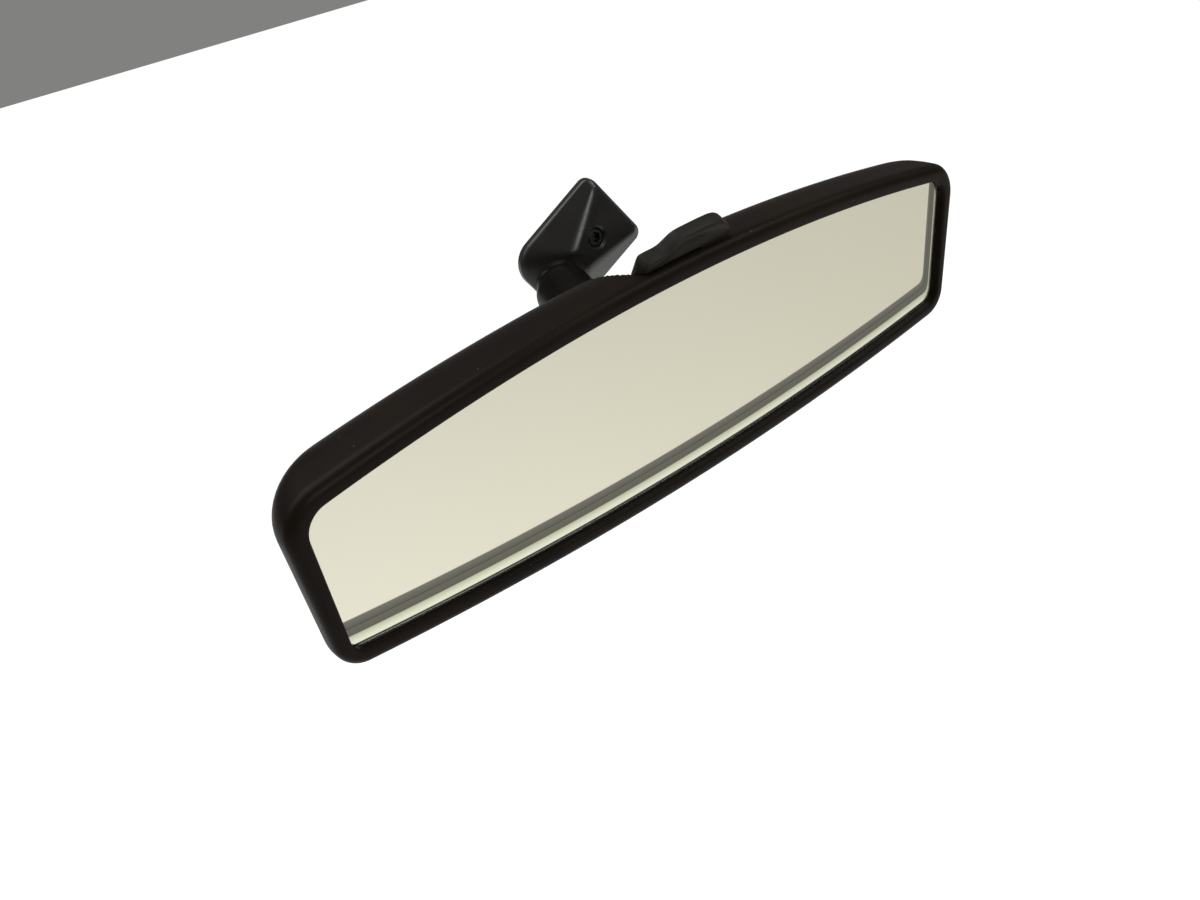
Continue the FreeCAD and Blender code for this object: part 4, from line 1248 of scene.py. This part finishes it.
    def build(self, material: Any) -> Any:
        """The lever as one closed solid.

        Args:
            material: its finish.

        Returns:
            The piece.
        """
        pivot = joint_place("lever_flip")
        low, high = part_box("crank_pin")
        crank = (Vector(low) + Vector(high)) / 2
        lever = make_piece("night_lever", *self.paddle(), material, "lever")
        left, right, half = self.neck
        high_end = self.neck_height
        outline = [(-half, 0.0), (half, 0.0), (half, high_end), (-half, high_end)]
        carve(lever, self.bar(outline, left, right), "UNION")
        radius, length = self.barrel
        carve(lever, self.round_bar(radius, length, pivot), "UNION")
        near, far, boss = self.crank
        for side in (-1, 1):
            middle = Vector((side * (near + far) / 2 * MM, 0, 0))
            carve(lever, self.crank_arm(pivot + middle, crank + middle, (far - near) / 2, boss), "UNION")
        carve(lever, self.round_bar(self.bore, length + self.bore_overcut, pivot))
        carve(lever, self.round_bar(self.bore, length + self.bore_overcut, crank))
        shade(lever, Finishing.SOFT)
        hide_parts("toggle_lever")
        return lever

    @staticmethod
    def crank_arm(top: Vector, bottom: Vector, half: float, radius: float) -> Any:
        """Round-ended arm between two axes.

        Args:
            top: middle of its upper end.
            bottom: middle of its lower end.
            half: half its thickness in millimetres.
            radius: its ends' radius in millimetres.

        Returns:
            The tool.
        """
        line = bottom - top
        start = math.atan2(line.z, line.y)
        loop = []
        for centre, turn in ((bottom, start - math.pi / 2), (top, start + math.pi / 2)):
            for step in range(17):
                angle = turn + math.pi * step / 16
                loop.append((centre.y + radius * MM * math.cos(angle),
                             centre.z + radius * MM * math.sin(angle)))
        rings = [np.array([(top.x + side * half * MM, y, z) for y, z in loop]) for side in (-1, 1)]
        return tool(*stack(rings))


# ---------------------------------------------------------------- carried-over pieces

@dataclass
class CarriedNodes:
    """CAD pieces that keep their shape and get their finish."""

    finishes: dict[str, Any]

    def dress(self) -> None:
        """Give each node its material and soft shading."""
        for node, material in self.finishes.items():
            piece = frame["nodes"][node]
            piece.data.materials.clear()
            piece.data.materials.append(material)
            shade(piece, Finishing.CRISP)


# ---------------------------------------------------------------- studio

@dataclass
class Studio:
    """Pale floor, soft lights and the camera."""

    lens: float = 39.0
    sensor: float = 36.0
    camera_from_head: tuple[float, float, float] = (-219.8, -235.1, 176.6)
    forward: tuple[float, float, float] = (0.5282, 0.671, -0.5203)
    up: tuple[float, float, float] = (0.4268, 0.3199, 0.8459)
    floor_drop: float = 0.55
    floor_size: float = 6.0

    def camera(self) -> None:
        """Camera that looks down on the head's left end."""
        data = bpy.data.cameras.new("camera")
        data.sensor_width = self.sensor
        data.lens = self.lens
        data.clip_start = 0.01
        forward = Vector(self.forward).normalized()
        right = forward.cross(Vector(self.up)).normalized()
        up = right.cross(forward)
        turn = Matrix((right, up, -forward)).transposed().to_4x4()
        camera = bpy.data.objects.new("camera", data)
        camera.matrix_world = Matrix.Translation(HEAD + Vector(self.camera_from_head) * MM) @ turn
        bpy.context.scene.collection.objects.link(camera)
        bpy.context.scene.camera = camera

    def floor(self) -> None:
        """Plain pale floor under the part."""
        half = self.floor_size / 2
        low = CAD_BOX[0][2] - self.floor_drop
        mesh = bpy.data.meshes.new("floor")
        mesh.from_pydata([(-half, -half, low), (half, -half, low), (half, half, low), (-half, half, low)],
                         [], [(0, 1, 2, 3)])
        floor = bpy.data.objects.new("floor", mesh)
        bpy.context.scene.collection.objects.link(floor)
        kit = ShaderKit("pale_floor")
        kit.set(Base_Color=(0.93, 0.925, 0.91), Roughness=0.9, Specular_IOR_Level=0.1)
        mesh.materials.append(kit.material)

    def light(self, name: str, place: Sequence[float], size: float, power: float,
              colour: Colour = (1, 1, 1)) -> None:
        """Square softbox that faces the head.

        Args:
            name: the light's name.
            place: metres from the head.
            size: its side in metres.
            power: watts.
            colour: its colour.
        """
        data = bpy.data.lights.new(name, "AREA")
        data.size = size
        data.energy = power
        data.color = colour
        lamp = bpy.data.objects.new(name, data)
        spot = HEAD + Vector(place)
        aim = (HEAD - spot).to_track_quat("-Z", "Y").to_matrix().to_4x4()
        lamp.matrix_world = Matrix.Translation(spot) @ aim
        bpy.context.scene.collection.objects.link(lamp)

    def surroundings(self) -> None:
        """Even pale room light."""
        world = bpy.data.worlds.new("room")
        world.use_nodes = True
        world.node_tree.nodes["Background"].inputs[0].default_value = (1.0, 0.995, 0.98, 1.0)
        world.node_tree.nodes["Background"].inputs[1].default_value = 0.22
        bpy.context.scene.world = world
        bpy.context.scene.view_settings.view_transform = "Standard"

    def sun(self, direction: Sequence[float], strength: float, spread_deg: float) -> None:
        """Broad even light from above.

        Args:
            direction: where it shines to.
            strength: watts per square metre.
            spread_deg: its apparent size.
        """
        data = bpy.data.lights.new("overhead", "SUN")
        data.energy = strength
        data.angle = math.radians(spread_deg)
        lamp = bpy.data.objects.new("overhead", data)
        lamp.matrix_world = Vector(direction).to_track_quat("-Z", "Y").to_matrix().to_4x4()
        bpy.context.scene.collection.objects.link(lamp)

    def build(self) -> None:
        """The whole studio."""
        self.camera()
        self.floor()
        self.surroundings()
        self.sun((0.1, -0.35, -1.0), 3.0, 50.0)
        self.light("left_softbox", (-0.5, 0.25, 0.45), 0.35, 1.2)
        self.light("front_softbox", (0.06, -0.85, 0.4), 0.3, 4.0)
        self.light("right_softbox", (0.48, -0.28, 0.56), 0.25, 1.6)


def finishes() -> dict[str, Any]:
    """Every material by its finish's name."""
    made = [
        MouldedPlastic("shell_plastic", srgb(13, 9, 6), srgb(20, 14, 8), roughness=0.42,
                       grain_mm=0.5, grain_depth_mm=0.03, specular=0.05),
        MouldedPlastic("lever_plastic", srgb(22, 21, 18), srgb(36, 34, 29), roughness=0.46,
                       grain_mm=0.6, grain_depth_mm=0.04, specular=0.07),
        MouldedPlastic("base_plastic", srgb(30, 30, 30), srgb(44, 44, 43), roughness=0.5),
        MouldedPlastic("carrier_plastic", srgb(34, 34, 34), srgb(48, 48, 48), roughness=0.55),
        MouldedPlastic("seat_nylon", srgb(48, 48, 48), srgb(60, 60, 60), roughness=0.5),
        MouldedPlastic("cup_nylon", srgb(205, 200, 188), srgb(222, 218, 206), roughness=0.4),
        PaintedMetal("cast_foot", srgb(14, 13, 11), 0.36, specular=0.34),
        PaintedMetal("arm_paint", srgb(6, 5, 4), 0.3, peel_depth_mm=0.01, chips=0.01, specular=0.04),
        BareMetal("black_screw", srgb(84, 84, 80), 0.35),
        BareMetal("ball_steel", srgb(190, 190, 190), 0.22),
        BareMetal("pin_steel", srgb(196, 196, 196), 0.28),
        BareMetal("spring_steel", srgb(160, 160, 162), 0.3),
        BareMetal("screw_zinc", srgb(200, 200, 192), 0.32),
        SoftSolid("pad_foam", srgb(56, 56, 56), 0.9, 0.8),
        SoftSolid("bumper_rubber", srgb(40, 40, 40), 0.7, 0.5),
        SoftSolid("silver_paint", srgb(120, 122, 124), 0.5, 1.2),
        SilveredGlass("prism_glass"),
    ]
    return {finish.name: finish.material() for finish in made}


NODE_FINISH = {
    "clamp_screw": "black_screw", "foot_ball_stud": "ball_steel", "foot_ball_cup": "cup_nylon",
    "arm_tube": "arm_paint", "foot_spring_seat": "seat_nylon", "arm_spring": "spring_steel",
    "mirror_spring_seat": "seat_nylon", "mirror_ball_cup": "cup_nylon", "mirror_ball_stud": "ball_steel",
    "toggle_base": "base_plastic", "hinge_pin": "pin_steel", "mirror_glass": "prism_glass",
    "silver_backing": "silver_paint", "glass_pad": "pad_foam", "carrier_plate": "carrier_plastic",
    "carrier_screws": "screw_zinc", "bumper_pads": "bumper_rubber", "detent_springs": "spring_steel",
    "lever_pin": "pin_steel", "toggle_lever": "lever_plastic", "crank_pin": "pin_steel",
}


def main() -> None:
    """Build every sub-assembly in order."""
    logging.basicConfig(level=logging.INFO)
    materials = finishes()
    LOG.info("%d finishes", len(materials))
    Studio().build()
    CarriedNodes({node: materials[finish] for node, finish in NODE_FINISH.items()}).dress()
    shell = HeadShell().build(materials["shell_plastic"])
    LOG.info("%s: %d faces", shell.name, len(shell.data.polygons))
    foot = Foot().build(materials["cast_foot"])
    LOG.info("%s: %d faces", foot.name, len(foot.data.polygons))
    lever = Lever().build(materials["lever_plastic"])
    LOG.info("%s: %d faces", lever.name, len(lever.data.polygons))
    bpy.context.view_layer.update()


if __name__ == "__main__":
    main()
